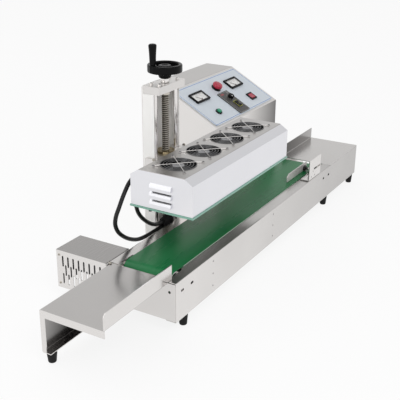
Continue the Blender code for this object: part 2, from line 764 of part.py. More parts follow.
def motor_cover(base):
    """Cover over the gear motor, open below and at the web, with staggered vent slots."""
    front, rear = Y_REAR + GAP, Y_REAR + MOTOR_BOX_DEPTH
    far = X_IN + MOTOR_BOX_LENGTH
    shape = block((X_IN, front, Z_BASE), (far, rear, Z_RAIL))
    inside = block((X_IN + SHEET, front - SHEET, Z_BASE - SHEET), (far - SHEET, rear - SHEET, Z_RAIL - SHEET))
    slots = []
    for column in range(VENT_COLUMNS):
        y = Y_REAR + VENT_MARGIN + column * VENT_PITCH
        levels = (0.0200, 0.0535) if column % 2 == 0 else (0.0367,)
        for level in levels:
            outline = slot_outline((y, Z_RAIL - level), VENT_LENGTH, VENT_WIDTH, upright=True, steps=2)
            slots.append(prism(outline, "X", X_IN - SHEET, X_IN + 2 * SHEET))
    return piece("motor_cover", shape, "stainless", cuts=[inside, merged(*slots)], parent=base)


# Feet

def foot(name, x, y, height, base):
    """Tapered rubber foot with a rounded lower edge."""
    t, b = FOOT_TOP / 2, FOOT_BOTTOM / 2
    top = height - GAP
    profile = [(0, 0), (b - 0.002, 0), (b - 0.0006, 0.0006), (b, 0.002), (t, top), (0, top)]
    return piece(name, turned(profile, (x, y, 0), "Z", HOLE_STEPS), "rubber_black", at=(x, y, 0),
                 parent=base)


def feet(base):
    """Every foot under what it carries."""
    inner = FOOT_TOP / 2 + 0.00175
    foot("foot_infeed_leg", X_TABLE + inner, Y_FRONT + TABLE_BACK - inner, Z_BASE - LEG_DROP, base)
    foot("foot_front_infeed", X_DRIVE + FOOT_PAST_DRIVE, Y_FRONT + inner, Z_BASE, base)
    foot("foot_front_outfeed", X_TAIL + FOOT_PAST_TAIL, Y_FRONT + inner, Z_BASE, base)
    foot("foot_front_end", X_OUT - inner - SHEET, Y_FRONT + inner, Z_BASE, base)
    foot("foot_back_end", X_OUT - inner - SHEET, Y_REAR - inner, Z_BASE, base)
    foot("foot_cabinet_infeed", X_CABINET + 0.014, Y_BACK - 0.014, Z_BASE, base)
    foot("foot_cabinet_outfeed", X_CABINET + CABINET_WIDTH - 0.014, Y_BACK - 0.014, Z_BASE, base)


# Guide

def guide_plate(slider):
    """Plate along the belt on a rod that slides through the bracket's block."""
    start, low = X_IN + GUIDE_START, Z_BELT + GUIDE_LIFT
    end, high = start + GUIDE_LENGTH, low + GUIDE_HEIGHT
    line = Y_FRONT + GUIDE_LINE
    outline = [(start, low), (end, low), (end, high), (start + 0.008, high), (start, high - 0.006)]
    shape = prism(outline, "Y", line, line + TABLE_SHEET)
    place = (X_IN + GUIDE_ROD_PLACE, line, Z_BASE + GUIDE_ROD_LEVEL)
    shaft = rod(place, "Y", GUIDE_ROD, BRACKET_SHEET + CLEAR - GUIDE_LINE, TABLE_SHEET / 2, HOLE_STEPS)
    boss = rod(place, "Y", 2 * GUIDE_ROD, -0.0045, TABLE_SHEET / 2, SMALL_STEPS)
    return piece("guide_plate", shape, "stainless", joins=[boss, shaft], at=place, parent=slider)


def guide_bracket(base):
    """Slotted angle bracket on the front rail with the block that holds the guide's rod."""
    start, end = X_IN + BRACKET_START, X_IN + BRACKET_START + BRACKET_LENGTH
    low, face = Z_RAIL + GAP, Y_FRONT
    path = [(face, low + BRACKET_HEIGHT), (face, low), (face + BRACKET_FOOT, low)]
    shape = prism(fold(path, BRACKET_SHEET), "X", start, end)
    x, z = X_IN + GUIDE_ROD_PLACE, Z_BASE + GUIDE_ROD_LEVEL
    holder = block((end - GUIDE_BLOCK, face + BRACKET_SHEET / 2, low + BRACKET_SHEET / 2),
                   (end, face + BRACKET_FOOT - GAP, low + 1.6 * GUIDE_BLOCK))
    bore = prism(circle((x, z), GUIDE_ROD + CLEAR, HOLE_STEPS), "Y", face + BRACKET_SHEET,
                 face + BRACKET_FOOT + SHEET)
    stud = prism(circle((face + BRACKET_FOOT / 2, z), STUD_DIAMETER + CLEAR, HOLE_STEPS), "X",
                 end - GUIDE_BLOCK - SHEET, x - GUIDE_ROD / 2)
    through = (face - SHEET, face + BRACKET_SHEET + SHEET / 4)
    slot = prism(slot_outline((end - 0.020, low + 0.0215), SLOT_LENGTH, SLOT_WIDTH), "Y", *through)
    holes = merged(*(prism(circle((start + a, low + b), 0.0035), "Y", *through)
                     for a, b in ((0.013, 0.007), (0.030, 0.007), (0.021, 0.017))))
    return piece("guide_bracket", shape, "stainless", joins=[holder], cuts=[bore, stud, slot, holes],
                 parent=base)


def guide_knob(turning):
    """Clamping knob with the stud that presses on the guide's rod."""
    x, z = X_IN + GUIDE_ROD_PLACE, Z_BASE + GUIDE_ROD_LEVEL
    face = X_IN + BRACKET_START + BRACKET_LENGTH - GUIDE_BLOCK
    tip = x - GUIDE_ROD / 2 - CLEAR - face
    r, s = GUIDE_KNOB / 2, STUD_DIAMETER / 2
    near, far = -0.008, -0.008 - GUIDE_KNOB
    profile = [(0, far), (r - 0.001, far), (r, far + 0.001), (r, near - 0.001), (r - 0.001, near),
               (s, near), (s, tip), (0, tip)]
    centre = (face, Y_FRONT + BRACKET_FOOT / 2, z)
    return piece("guide_knob", turned(profile, centre, "X", SMALL_STEPS), "bakelite_black", at=centre,
                 parent=turning)


# Column and lift

def rod_places():
    """Both guide rods, left one first."""
    return [(X_COLUMN + side * ROD_SPACING / 2, Y_COLUMN) for side in (-1, 1)]


def column_base(base):
    """Foot of the column: block with sockets, flange on the back web and the tab for the gland."""
    half = COLUMN_WIDTH / 2 + 0.0145
    front, top = Y_REAR + GAP, Z_BASE + BASE_BLOCK
    shape = block((X_COLUMN - half, front, Z_BASE), (X_COLUMN + half, Y_COLUMN + COLUMN_WEB + 0.002, top))
    flange = block((X_COLUMN - half, front, top - SHEET),
                   (X_COLUMN + half, front + BASE_FLANGE, Z_RAIL - 0.018))
    tab = block((X_IN + GLAND_PLACE + GAP, front, top - SHEET),
                (X_IN + GLAND_PLACE + GAP + COLUMN_SHEET, front + 0.020, Z_RAIL + 0.0095))
    cuts = [prism(circle(place, ROD_DIAMETER + CLEAR, SMALL_STEPS), "Z", top - SOCKET_DEPTH, top + SHEET)
            for place in rod_places()]
    cuts.append(prism(circle((X_COLUMN, Y_COLUMN), SCREW_NECK + CLEAR, SMALL_STEPS), "Z",
                      top - SOCKET_DEPTH, top + SHEET))
    return piece("column_base", shape, "stainless", joins=[flange, tab], cuts=cuts, parent=base)


def column_channel(base):
    """Tall channel behind the rods, cut away round the cap."""
    left, right = X_COLUMN - COLUMN_WIDTH / 2, X_COLUMN + COLUMN_WIDTH / 2
    back = Y_COLUMN + COLUMN_WEB
    front = back - COLUMN_SIDE
    path = [(right, front), (right, back), (left, back), (left, front)]
    shape = prism(fold(path, COLUMN_SHEET), "Z", Z_BASE + BASE_BLOCK + GAP, CAP_TOP)
    notch = block((left - SHEET, front - SHEET, CAP_TOP - CAP_HEIGHT - GAP),
                  (right + SHEET, back - COLUMN_SHEET - GAP, CAP_TOP + SHEET))
    return piece("column_channel", shape, "stainless", cuts=[notch], parent=base)


def column_cap(base):
    """Top block with sockets for the rods and a bore for the screw's neck."""
    low = CAP_TOP - CAP_HEIGHT
    shape = block((X_COLUMN - COLUMN_WIDTH / 2, Y_COLUMN - CAP_FRONT, low),
                  (X_COLUMN + COLUMN_WIDTH / 2, Y_COLUMN + COLUMN_WEB - COLUMN_SHEET - CLEAR, CAP_TOP))
    cuts = [prism(circle(place, ROD_DIAMETER + CLEAR, SMALL_STEPS), "Z", low - SHEET, low + SOCKET_DEPTH)
            for place in rod_places()]
    cuts.append(prism(circle((X_COLUMN, Y_COLUMN), SCREW_NECK + CLEAR, SMALL_STEPS), "Z",
                      low - SHEET, CAP_TOP + SHEET))
    return piece("column_cap", shape, "stainless", cuts=cuts, parent=base)


def guide_rods(base):
    """Both guide rods from the base block's sockets to the cap's."""
    low = Z_BASE + BASE_BLOCK - SOCKET_DEPTH + GAP
    high = CAP_TOP - CAP_HEIGHT + SOCKET_DEPTH - GAP
    for name, (x, y) in zip(("guide_rod_left", "guide_rod_right"), rod_places()):
        piece(name, rod((x, y, 0), "Z", ROD_DIAMETER, low, high), "bright_steel", at=(x, y, low),
              parent=base)


def lead_screw(turning):
    """Lifting screw with a collar under the cap and necks at both ends."""
    foot_low = Z_BASE + BASE_BLOCK - SOCKET_DEPTH + GAP
    shoulder = Z_BASE + BASE_BLOCK + GAP
    high = CAP_TOP - CAP_HEIGHT - GAP
    n, r, c = SCREW_NECK / 2, SCREW_DIAMETER / 2, COLLAR_DIAMETER / 2
    top = CAP_TOP + WHEEL_CLEARANCE + HUB_BORE - GAP
    profile = [(0, foot_low), (n, foot_low), (n, shoulder), (r, shoulder), (r, high - COLLAR_HEIGHT),
               (c, high - COLLAR_HEIGHT), (c, high), (n, high), (n, top), (0, top)]
    centre = (X_COLUMN, Y_COLUMN, 0)
    return piece("lead_screw", turned(profile, centre), "bright_steel", at=(X_COLUMN, Y_COLUMN, shoulder),
                 parent=turning)


def handle_place():
    """Point on the wheel's rim under the handle."""
    return (X_COLUMN + HANDLE_RADIUS * cos(HANDLE_ANGLE), Y_COLUMN + HANDLE_RADIUS * sin(HANDLE_ANGLE))


def handwheel(turning):
    """Wheel with a hub, spokes, a boss and the pin that the handle spins on."""
    centre = (X_COLUMN, Y_COLUMN, 0)
    hub_low = CAP_TOP + WHEEL_CLEARANCE
    low = hub_low + WHEEL_HUB_DROP
    high = low + WHEEL_RIM_HEIGHT
    r, w, c = WHEEL_DIAMETER / 2, WHEEL_RIM_WIDTH, 0.0018
    rim = [(r - w, low), (r - c, low), (r, low + c), (r, high - c), (r - c, high), (r - w, high)]
    shape = turned(rim, centre, "Z", ROUND_STEPS + 8, closed=True)
    hub = rod(centre, "Z", WHEEL_HUB_DIAMETER, hub_low, high - 0.002, SMALL_STEPS + 4, 0.0015)
    joins = []
    for k in range(WHEEL_SPOKES):
        angle = HANDLE_ANGLE + 2 * pi * k / WHEEL_SPOKES
        arm = block((WHEEL_HUB_DIAMETER / 4, -0.0045, low + 0.003), (r - w / 2, 0.0045, high - 0.005))
        turn = Matrix.Translation((X_COLUMN, Y_COLUMN, 0)) @ Matrix.Rotation(angle, 4, "Z")
        joins.append(moved(arm, turn))
    x, y = handle_place()
    joins += [hub, rod((x, y, 0), "Z", HANDLE_DIAMETER, low + 0.002, high + 0.0005, SMALL_STEPS),
              rod((x, y, 0), "Z", HANDLE_PIN, high - 0.002, high + HANDLE_HEIGHT - 0.006, HOLE_STEPS)]
    bore = prism(circle((X_COLUMN, Y_COLUMN), SCREW_NECK + CLEAR, SMALL_STEPS), "Z", hub_low - SHEET,
                 hub_low + HUB_BORE)
    return piece("handwheel", shape, "bakelite_black", joins=joins, cuts=[bore],
                 at=(X_COLUMN, Y_COLUMN, hub_low), parent=turning)


def wheel_handle(spinning):
    """Tapered grip, hollow over its pin."""
    x, y = handle_place()
    low = CAP_TOP + WHEEL_CLEARANCE + WHEEL_HUB_DROP + WHEEL_RIM_HEIGHT + 0.0005 + GAP
    r, b = HANDLE_DIAMETER / 2, HANDLE_PIN / 2 + GAP
    deep = HANDLE_HEIGHT - 0.006
    profile = [(0, deep), (b, deep), (b, 0), (r - 0.0015, 0), (r - 0.0008, 0.002), (r, HANDLE_HEIGHT - 0.004),
               (r - 0.0015, HANDLE_HEIGHT - 0.001), (r - 0.004, HANDLE_HEIGHT), (0, HANDLE_HEIGHT)]
    return piece("wheel_handle", turned(profile, (x, y, low), "Z", SMALL_STEPS + 4), "bakelite_black",
                 at=(x, y, low), parent=spinning)


def lift_carriage(lift):
    """Block on the rods with cheeks outside the channel and the arm that carries the head."""
    high = Z_HEAD_TOP - CARRIAGE_DROP
    low = high - CARRIAGE_HEIGHT
    inner = COLUMN_WIDTH / 2 - COLUMN_SHEET - CLEAR
    outer = COLUMN_WIDTH / 2 + CHEEK_REACH
    back = Y_COLUMN + COLUMN_WEB - COLUMN_SHEET - CHEEK_SHEET
    middle = Y_COLUMN + COLUMN_WEB - COLUMN_SIDE - COLUMN_SHEET
    front = Y_HEAD + HEAD_WIDTH / 2 + GAP
    step = SHEET / 2
    shape = block((X_COLUMN - inner, middle - CHEEK_SHEET, low), (X_COLUMN + inner, back, high))
    bar = block((X_COLUMN - outer, middle - BAR_DEPTH, low), (X_COLUMN + outer, middle, high))
    cheeks = [block((X_COLUMN + min(side * outer, side * (outer - CHEEK_SHEET)), middle - BAR_DEPTH + SHEET, low + step),
                    (X_COLUMN + max(side * outer, side * (outer - CHEEK_SHEET)), back - SHEET, high - step))
              for side in (-1, 1)]
    arm = block((X_COLUMN - ARM_WIDTH / 2, front + FLANGE_SHEET / 2, low + step),
                (X_COLUMN + ARM_WIDTH / 2, middle - BAR_DEPTH + SHEET, high - step))
    flange = block((X_COLUMN - ARM_FLANGE / 2, front, low - FLANGE_DROP),
                   (X_COLUMN + ARM_FLANGE / 2, front + FLANGE_SHEET, high + FLANGE_RISE))
    cuts = [prism(circle(place, ROD_DIAMETER + CLEAR, SMALL_STEPS), "Z", low - SHEET, high + SHEET)
            for place in rod_places()]
    cuts.append(prism(circle((X_COLUMN, Y_COLUMN), NUT_DIAMETER + CLEAR, SMALL_STEPS + 8), "Z",
                      low - SHEET, high + SHEET))
    return piece("lift_carriage", shape, "stainless", joins=[bar, arm, flange] + cheeks, cuts=cuts,
                 at=(X_COLUMN, Y_COLUMN, low), parent=lift)


def lead_nut(lift):
    """Brass nut of the screw, its flange on the carriage."""
    high = Z_HEAD_TOP - CARRIAGE_DROP
    low = high - CARRIAGE_HEIGHT - 0.002
    b, r, f = SCREW_DIAMETER / 2 + GAP, NUT_DIAMETER / 2, NUT_FLANGE / 2
    top = high + GAP + NUT_FLANGE_HEIGHT
    profile = [(b, low), (r, low), (r, high + GAP), (f, high + GAP), (f, top), (b, top)]
    return piece("lead_nut", turned(profile, (X_COLUMN, Y_COLUMN, 0), "Z", SMALL_STEPS + 8, closed=True),
                 "brass", at=(X_COLUMN, Y_COLUMN, low), parent=lift)


# Sealing head

def head_section(wall=0.0, below=0.0):
    """Section of the head's shell, or of its hollow when a wall is given."""
    front, back = Y_HEAD - HEAD_WIDTH / 2, Y_HEAD + HEAD_WIDTH / 2
    side = HEAD_BOTTOM + HEAD_SIDE
    outline = [(front, HEAD_BOTTOM), (back, HEAD_BOTTOM), (back, side), (back - HEAD_CHAMFER, Z_HEAD_TOP),
               (front + HEAD_CHAMFER, Z_HEAD_TOP), (front, side)]
    if wall:
        outline = inset(outline, wall)
        outline[0] = (outline[0][0], HEAD_BOTTOM - below)
        outline[1] = (outline[1][0], HEAD_BOTTOM - below)
    return outline


def fan_places():
    """Centres of the fans on the head, from the infeed side."""
    return [(HEAD_CENTRE + (k - 1.5) * FAN_PITCH, Y_HEAD) for k in range(4)]


def louvre(x, z, outward, hollow):
    """Hooded louvre on an end of the head, or the space under its hood."""
    half = LOUVRE_WIDTH / 2
    inside = x - outward * (2 * SHEET if hollow else SHEET / 2)
    if hollow:
        outline = [(inside, z + LOUVRE_HEIGHT / 2 - SHEET), (x, z + LOUVRE_HEIGHT / 2 - SHEET),
                   (x + outward * (LOUVRE_BULGE - SHEET), z - LOUVRE_HEIGHT / 4),
                   (x + outward * (LOUVRE_BULGE - SHEET), z - LOUVRE_HEIGHT / 2 - SHEET / 2),
                   (inside, z - LOUVRE_HEIGHT / 2 - SHEET / 2)]
        half -= SHEET
    else:
        outline = [(inside, z + LOUVRE_HEIGHT / 2), (x, z + LOUVRE_HEIGHT / 2),
                   (x + outward * LOUVRE_BULGE * 0.7, z + LOUVRE_HEIGHT / 4),
                   (x + outward * LOUVRE_BULGE, z - LOUVRE_HEIGHT / 4),
                   (x + outward * LOUVRE_BULGE, z - LOUVRE_HEIGHT / 2), (inside, z - LOUVRE_HEIGHT / 2)]
    return prism(outline, "Y", Y_HEAD - half, Y_HEAD + half)


def head_shell(lift):
    """Hood of the head with fan frames under its top and louvres on both ends."""
    end = X_HEAD + HEAD_LENGTH
    shape = prism(head_section(), "X", X_HEAD, end)
    hollow = prism(head_section(SHEET, 2 * SHEET), "X", X_HEAD + SHEET, end - SHEET)
    top, deep = Z_HEAD_TOP - SHEET, Z_HEAD_TOP - SHEET - FAN_DEPTH
    half = FAN_SIZE / 2
    later, holes, spaces = [], [], []
    for x, y in fan_places():
        later.append(prism(rounded(rectangle((x - half, y - half), (x + half, y + half)), 0.004, 1), "Z",
                           deep, top + SHEET / 2))
    for face, outward in ((X_HEAD, -1), (end, 1)):
        for k in range(LOUVRE_COUNT):
            z = HEAD_BOTTOM + LOUVRE_LOW + k * LOUVRE_PITCH
            later.append(louvre(face, z, outward, False))
            spaces.append(louvre(face, z, outward, True))
    for x, y in fan_places():
        holes.append(prism(circle((x, y), FAN_HOLE, ROUND_STEPS), "Z", deep - SHEET, Z_HEAD_TOP + SHEET))
    made = piece("head_shell", shape, "head_shell", cuts=[hollow], later=later,
                 at=(HEAD_CENTRE, Y_HEAD, HEAD_BOTTOM), parent=lift)
    for shape in (merged(*holes), merged(*spaces)):
        boolean(made, shape, "DIFFERENCE")
    for x, y in fan_places():
        boolean(made, fan_spider(x, y, deep), "UNION")
        boolean(made, rod((x, y, 0), "Z", FAN_HUB, deep, deep + FAN_STRUT, HOLE_STEPS), "UNION")
        boolean(made, rod((x, y, 0), "Z", FAN_BOSS, deep + FAN_STRUT / 2, deep + 0.010, 8), "UNION")
    return made


def fan_spider(x, y, deep):
    """Two crossing bars that hold a fan's motor disc in its frame."""
    reach, half = FAN_HOLE / 2 + SHEET, FAN_STRUT / 2
    outline = [(half, half), (half, reach), (-half, reach), (-half, half), (-reach, half), (-reach, -half),
               (-half, -half), (-half, -reach), (half, -reach), (half, -half), (reach, -half), (reach, half)]
    return prism([(x + a, y + b) for a, b in outline], "Z", deep + SHEET / 4, deep + FAN_STRUT - SHEET / 4)


def fan_rotor(name, x, y, spinning):
    """Hub with a bore for its pin and pitched blades."""
    deep = Z_HEAD_TOP - SHEET - FAN_DEPTH
    low = deep + FAN_STRUT + GAP
    high = Z_HEAD_TOP - SHEET
    r, b = FAN_HUB / 2, FAN_BOSS / 2 + GAP
    bore_top = deep + 0.010 + GAP
    profile = [(0, bore_top), (b, bore_top), (b, low), (r, low), (r, high - 0.001), (r - 0.001, high), (0, high)]
    shape = turned(profile, (x, y, 0), "Z", HOLE_STEPS)
    blades = []
    middle = (low + high) / 2 - 0.0005
    for k in range(FAN_BLADES):
        angle = 2 * pi * k / FAN_BLADES
        blade = block((r - 0.0015, -0.0085, -0.0006), (FAN_HOLE / 2 - 0.0012, 0.0085, 0.0006))
        turn = (Matrix.Translation((x, y, middle)) @ Matrix.Rotation(angle, 4, "Z")
                @ Matrix.Rotation(radians(32), 4, "X"))
        blades.append(moved(blade, turn))
    return piece(name, shape, "fan_black", joins=blades, at=(x, y, low), parent=spinning)


def fan_guard(name, x, y, lift):
    """Wire guard: rings over two crossing wires that end in screwed eyes."""
    w = GUARD_WIRE / 2
    low = Z_HEAD_TOP + GAP
    span = FAN_SCREW_SPAN / 2
    reach = hypot(span, span)
    joins = []
    for k in range(GUARD_RINGS):
        radius = FAN_HOLE / 2 - 0.0005 - k * GUARD_PITCH
        ring = [(radius - w, low + w), (radius + w, low + w), (radius + w, low + 3 * w), (radius - w, low + 3 * w)]
        joins.append(turned(ring, (x, y, 0), "Z", GUARD_STEPS, closed=True))
    wires = []
    for angle in (pi / 4, 3 * pi / 4):
        wire = block((-reach, -w, low), (reach, w, low + 1.5 * w))
        wires.append(moved(wire, Matrix.Translation((x, y, 0)) @ Matrix.Rotation(angle, 4, "Z")))
    eyes = [rod((x + a * span, y + b * span, 0), "Z", 0.006, low + w / 4, low + 2.5 * w, 8)
            for a in (-1, 1) for b in (-1, 1)]
    return piece(name, wires[0], "bright_steel", joins=[wires[1]] + joins + eyes, at=(x, y, low),
                 parent=lift)


def fans(lift):
    """A rotor and a guard for each fan."""
    for k, (x, y) in enumerate(fan_places(), 1):
        low = Z_HEAD_TOP - SHEET - FAN_DEPTH + FAN_STRUT + GAP
        fan_rotor(f"fan_rotor_{k}", x, y, carrier(f"fan_{k}_axis", (x, y, low), lift))
        fan_guard(f"fan_guard_{k}", x, y, lift)


def head_base_plate(lift):
    """Plate under the head with its rubber bumpers."""
    high = HEAD_BOTTOM - GAP
    low = high - HEAD_PLATE
    lip = HEAD_PLATE_LIP
    left, right = X_HEAD - lip, X_HEAD + HEAD_LENGTH + lip
    front, back = Y_HEAD - HEAD_WIDTH / 2 - lip, Y_HEAD + HEAD_WIDTH / 2 + lip
    shape = block((left, front, low), (right, back, high))
    bumpers = [rod((x, Y_HEAD + side * 0.024, 0), "Z", HEAD_BUMPER, low - 0.0035, low + SHEET, 12)
               for x in (left + 0.005, right - 0.005) for side in (-1, 1)]
    return piece("head_base_plate", shape, "glass_green", joins=bumpers, at=(HEAD_CENTRE, Y_HEAD, low),
                 parent=lift)


def induction_coil(lift):
    """Flat wound coil on the base plate."""
    centre = (HEAD_CENTRE, Y_HEAD)
    low = HEAD_BOTTOM + GAP
    shape = prism(slot_outline(centre, COIL_LENGTH, COIL_WIDTH, steps=8), "Z", low, low + COIL_HEIGHT)
    inner = prism(slot_outline(centre, COIL_LENGTH - 2 * COIL_BAND, COIL_WIDTH - 2 * COIL_BAND, steps=8), "Z",
                  low - SHEET, low + COIL_HEIGHT + SHEET)
    return piece("induction_coil", shape, "copper", cuts=[inner], at=(HEAD_CENTRE, Y_HEAD, low), parent=lift)


# Cables and glands

def head_gland(lift):
    """Two elbows on a plate behind the head, one turned to the infeed and one down."""
    face = Y_HEAD + HEAD_WIDTH / 2 + GAP
    line = Y_REAR + CABLE_LINE
    (xo, zo), (xi, zi) = HEAD_GLAND_OUTER, HEAD_GLAND_INNER
    xo, xi = X_IN + xo, X_IN + xi
    outline = rounded(rectangle((xi - 0.010, zi - 0.011), (xo + 0.010, zo + 0.009)), 0.004)
    shape = prism(outline, "Y", face, face + 0.003)
    r = ELBOW_DIAMETER
    joins = [rod((xo, 0, zo), "Y", r, face + SHEET, line + r / 2, SMALL_STEPS, 0.002),
             rod((xo, line, zo), "X", r - 0.001, -0.011, 0, SMALL_STEPS, 0.001),
             rod((xi, 0, zi), "Y", r, face + SHEET, line + r / 2, SMALL_STEPS, 0.002),
             rod((xi, line, zi), "Z", r - 0.001, -0.011, 0, SMALL_STEPS, 0.001)]
    bore = CABLE_DIAMETER + CLEAR
    cuts = [rod((xo, line, zo), "X", bore, -0.013, -0.011 + CABLE_SOCKET, HOLE_STEPS),
            rod((xi, line, zi), "Z", bore, -0.013, -0.011 + CABLE_SOCKET, HOLE_STEPS)]
    return piece("head_gland", shape, "bakelite_black", joins=joins, cuts=cuts, at=(xo, face, zo), parent=lift)


def rail_gland(base):
    """Tapered gland on the column's tab that takes both cables."""
    end, start = X_IN + GLAND_PLACE, X_IN + GLAND_PLACE - GLAND_LENGTH
    line = Y_REAR + CABLE_LINE
    low, high = (Z_RAIL + level for level in GLAND_LEVELS)
    half = (high - low) / 2
    centre = (line, (low + high) / 2)
    sections = ((start, 0.0062), (start + 0.003, 0.0066), (end - 0.006, 0.0078), (end - 0.006, 0.0088),
                (end, 0.0088))
    bm = bmesh.new()
    loops = []
    for x, r in sections:
        outline = slot_outline(centre, 2 * (half + r), 2 * r, upright=True, steps=8)
        loops.append([bm.verts.new((x, y, z)) for y, z in outline])
    for a, b in zip(loops, loops[1:]):
        for i in range(len(a)):
            j = (i + 1) % len(a)
            bm.faces.new((a[i], a[j], b[j], b[i]))
    bm.faces.new(loops[0])
    bm.faces.new(loops[-1])
    bmesh.ops.recalc_face_normals(bm, faces=bm.faces)
    cuts = [rod((start, line, z), "X", CABLE_DIAMETER + CLEAR, -SHEET, CABLE_SOCKET, HOLE_STEPS)
            for z in (low, high)]
    return piece("rail_gland", bm, "rubber_black", cuts=cuts, at=(start, line, Z_RAIL), parent=base)


def cable(name, route, parent):
    """Round cable along a smooth line through chosen points, with flat closed ends."""
    points = [Vector(p) for p in route]
    points = [2 * points[0] - points[1]] + points + [2 * points[-1] - points[-2]]
    dense = []
    for p0, p1, p2, p3 in zip(points, points[1:], points[2:], points[3:]):
        for k in range(24):
            t = k / 24
            dense.append(0.5 * (2 * p1 + (p2 - p0) * t + (2 * p0 - 5 * p1 + 4 * p2 - p3) * t ** 2
                                + (3 * p1 - p0 - 3 * p2 + p3) * t ** 3))
    dense.append(points[-2])
    lengths = [0.0]
    for a, b in zip(dense, dense[1:]):
        lengths.append(lengths[-1] + (b - a).length)
    even, place = [], 0
    for k in range(CABLE_STEPS):
        want = lengths[-1] * k / (CABLE_STEPS - 1)
        while place < len(lengths) - 2 and lengths[place + 1] < want:
            place += 1
        share = (want - lengths[place]) / (lengths[place + 1] - lengths[place])
        even.append(dense[place].lerp(dense[place + 1], share))
    data = bpy.data.curves.new(name, "CURVE")
    data.dimensions = "3D"
    data.bevel_depth = CABLE_DIAMETER / 2
    data.bevel_resolution = 2
    data.use_fill_caps = True
    spline = data.splines.new("POLY")
    spline.points.add(len(even) - 1)
    origin = even[0]
    for point, value in zip(spline.points, even):
        point.co = (*(value - origin), 1.0)
    data.materials.append(material("cable_black"))
    made = bpy.data.objects.new(name, data)
    made.matrix_world = Matrix.Translation(origin)
    bpy.context.scene.collection.objects.link(made)
    made.parent = parent
    made.matrix_parent_inverse = parent.matrix_world.inverted()
    return made


def head_cables(base):
    """Both cables from the head's elbows down to the gland on the column's tab."""
    line = Y_REAR + CABLE_LINE
    (xo, zo), (xi, zi) = HEAD_GLAND_OUTER, HEAD_GLAND_INNER
    socket = 0.011 - CABLE_SOCKET + 0.0005
    end = GLAND_PLACE - GLAND_LENGTH + CABLE_SOCKET - 0.0005
    low, high = (Z_RAIL + level for level in GLAND_LEVELS)
    outer = [(xo - socket, zo), (xo - CABLE_STRAIGHT, zo), *CABLE_OUTER_ROUTE, (GLAND_RUN, low), (end, low)]
    inner = [(xi, zi - socket), (xi, zi - CABLE_STRAIGHT), *CABLE_INNER_ROUTE, (GLAND_RUN, high), (end, high)]
    cable("head_cable_outer", [(X_IN + x, line, z) for x, z in outer], base)
    cable("head_cable_inner", [(X_IN + x, line, z) for x, z in inner], base)


# Control cabinet

SLOPE = atan2(CABINET_TOP - CABINET_FRONT_TOP, CABINET_DEPTH - CABINET_FLAT)
SLOPE_LENGTH = hypot(CABINET_TOP - CABINET_FRONT_TOP, CABINET_DEPTH - CABINET_FLAT)
PANEL_FRAME = Matrix.Translation((X_CABINET, Y_CABINET, CABINET_FRONT_TOP)) @ Matrix.Rotation(SLOPE, 4, "X")
PANEL_TOP = GAP + PANEL_SHEET


def on_panel(spot, beside=None):
    """Place on the sloping face, moved in step with the cabinet or with a neighbour it is fixed to."""
    lead = beside or spot
    return (lead[0] * CABINET_WIDTH / DRAWN_WIDTH + spot[0] - lead[0],
            lead[1] * SLOPE_LENGTH / DRAWN_SLOPE + spot[1] - lead[1])


METER_LEFT = on_panel(METER_LEFT_SPOT)
METER_RIGHT = on_panel(METER_RIGHT_SPOT)
ESTOP_PLACE = on_panel(ESTOP_SPOT)
START_PLACE = on_panel(START_SPOT)
POWER_PLACE = on_panel(POWER_SPOT)
CONTROLLER_PLACE = on_panel(CONTROLLER_SPOT)
KNOB_PLACE = on_panel(KNOB_SPOT, CONTROLLER_SPOT)
RUN_PLACE = on_panel(RUN_SPOT, CONTROLLER_SPOT)


def panel_piece(name, place, shape, finish, joins=(), cuts=(), later=(), parent=None):
    """Sub-part whose shapes are given round its own place on the sloping panel, Z outwards."""
    frame = PANEL_FRAME @ Matrix.Translation((place[0], place[1], 0))
    sets = [[moved(item, frame) for item in items] for items in (joins, cuts, later)]
    return piece(name, moved(shape, frame), finish, *sets, frame=frame, parent=parent)


def cabinet_shell(base):
    """Folded cabinet with a sloping face, open behind, on two spacers against the back web."""
    front, back = Y_CABINET, Y_BACK
    ridge = front + CABINET_DEPTH - CABINET_FLAT
    outline = [(front, Z_BASE), (back, Z_BASE), (back, CABINET_TOP), (ridge, CABINET_TOP),
               (front, CABINET_FRONT_TOP)]
    end = X_CABINET + CABINET_WIDTH
    shape = prism(rounded(outline, [0, 0, 0, 0.003, 0.003]), "X", X_CABINET, end)
    hollow = inset(outline, CABINET_SHEET)
    hollow[1] = (back + SHEET, hollow[1][1])
    hollow[2] = (back + SHEET, hollow[2][1])
    inside = prism(hollow, "X", X_CABINET + CABINET_SHEET, end - CABINET_SHEET)
    edge = PANEL_MARGIN + PANEL_LEDGE
    window = prism(rounded(rectangle((edge, edge), (CABINET_WIDTH - edge, SLOPE_LENGTH - edge)), 0.004),
                   "Z", -2 * CABINET_SHEET, CABINET_SHEET)
    high = Z_RAIL - SPACER_DROP
    spacers = [block((x - SPACER_WIDTH / 2, Y_REAR + GAP, high - SPACER_HEIGHT),
                     (x + SPACER_WIDTH / 2, front + CABINET_SHEET / 2, high))
               for x in (X_CABINET + SPACER_INSET, end - SPACER_INSET)]
    return piece("cabinet_shell", shape, "stainless", joins=spacers, cuts=[inside, moved(window, PANEL_FRAME)],
                 parent=base)


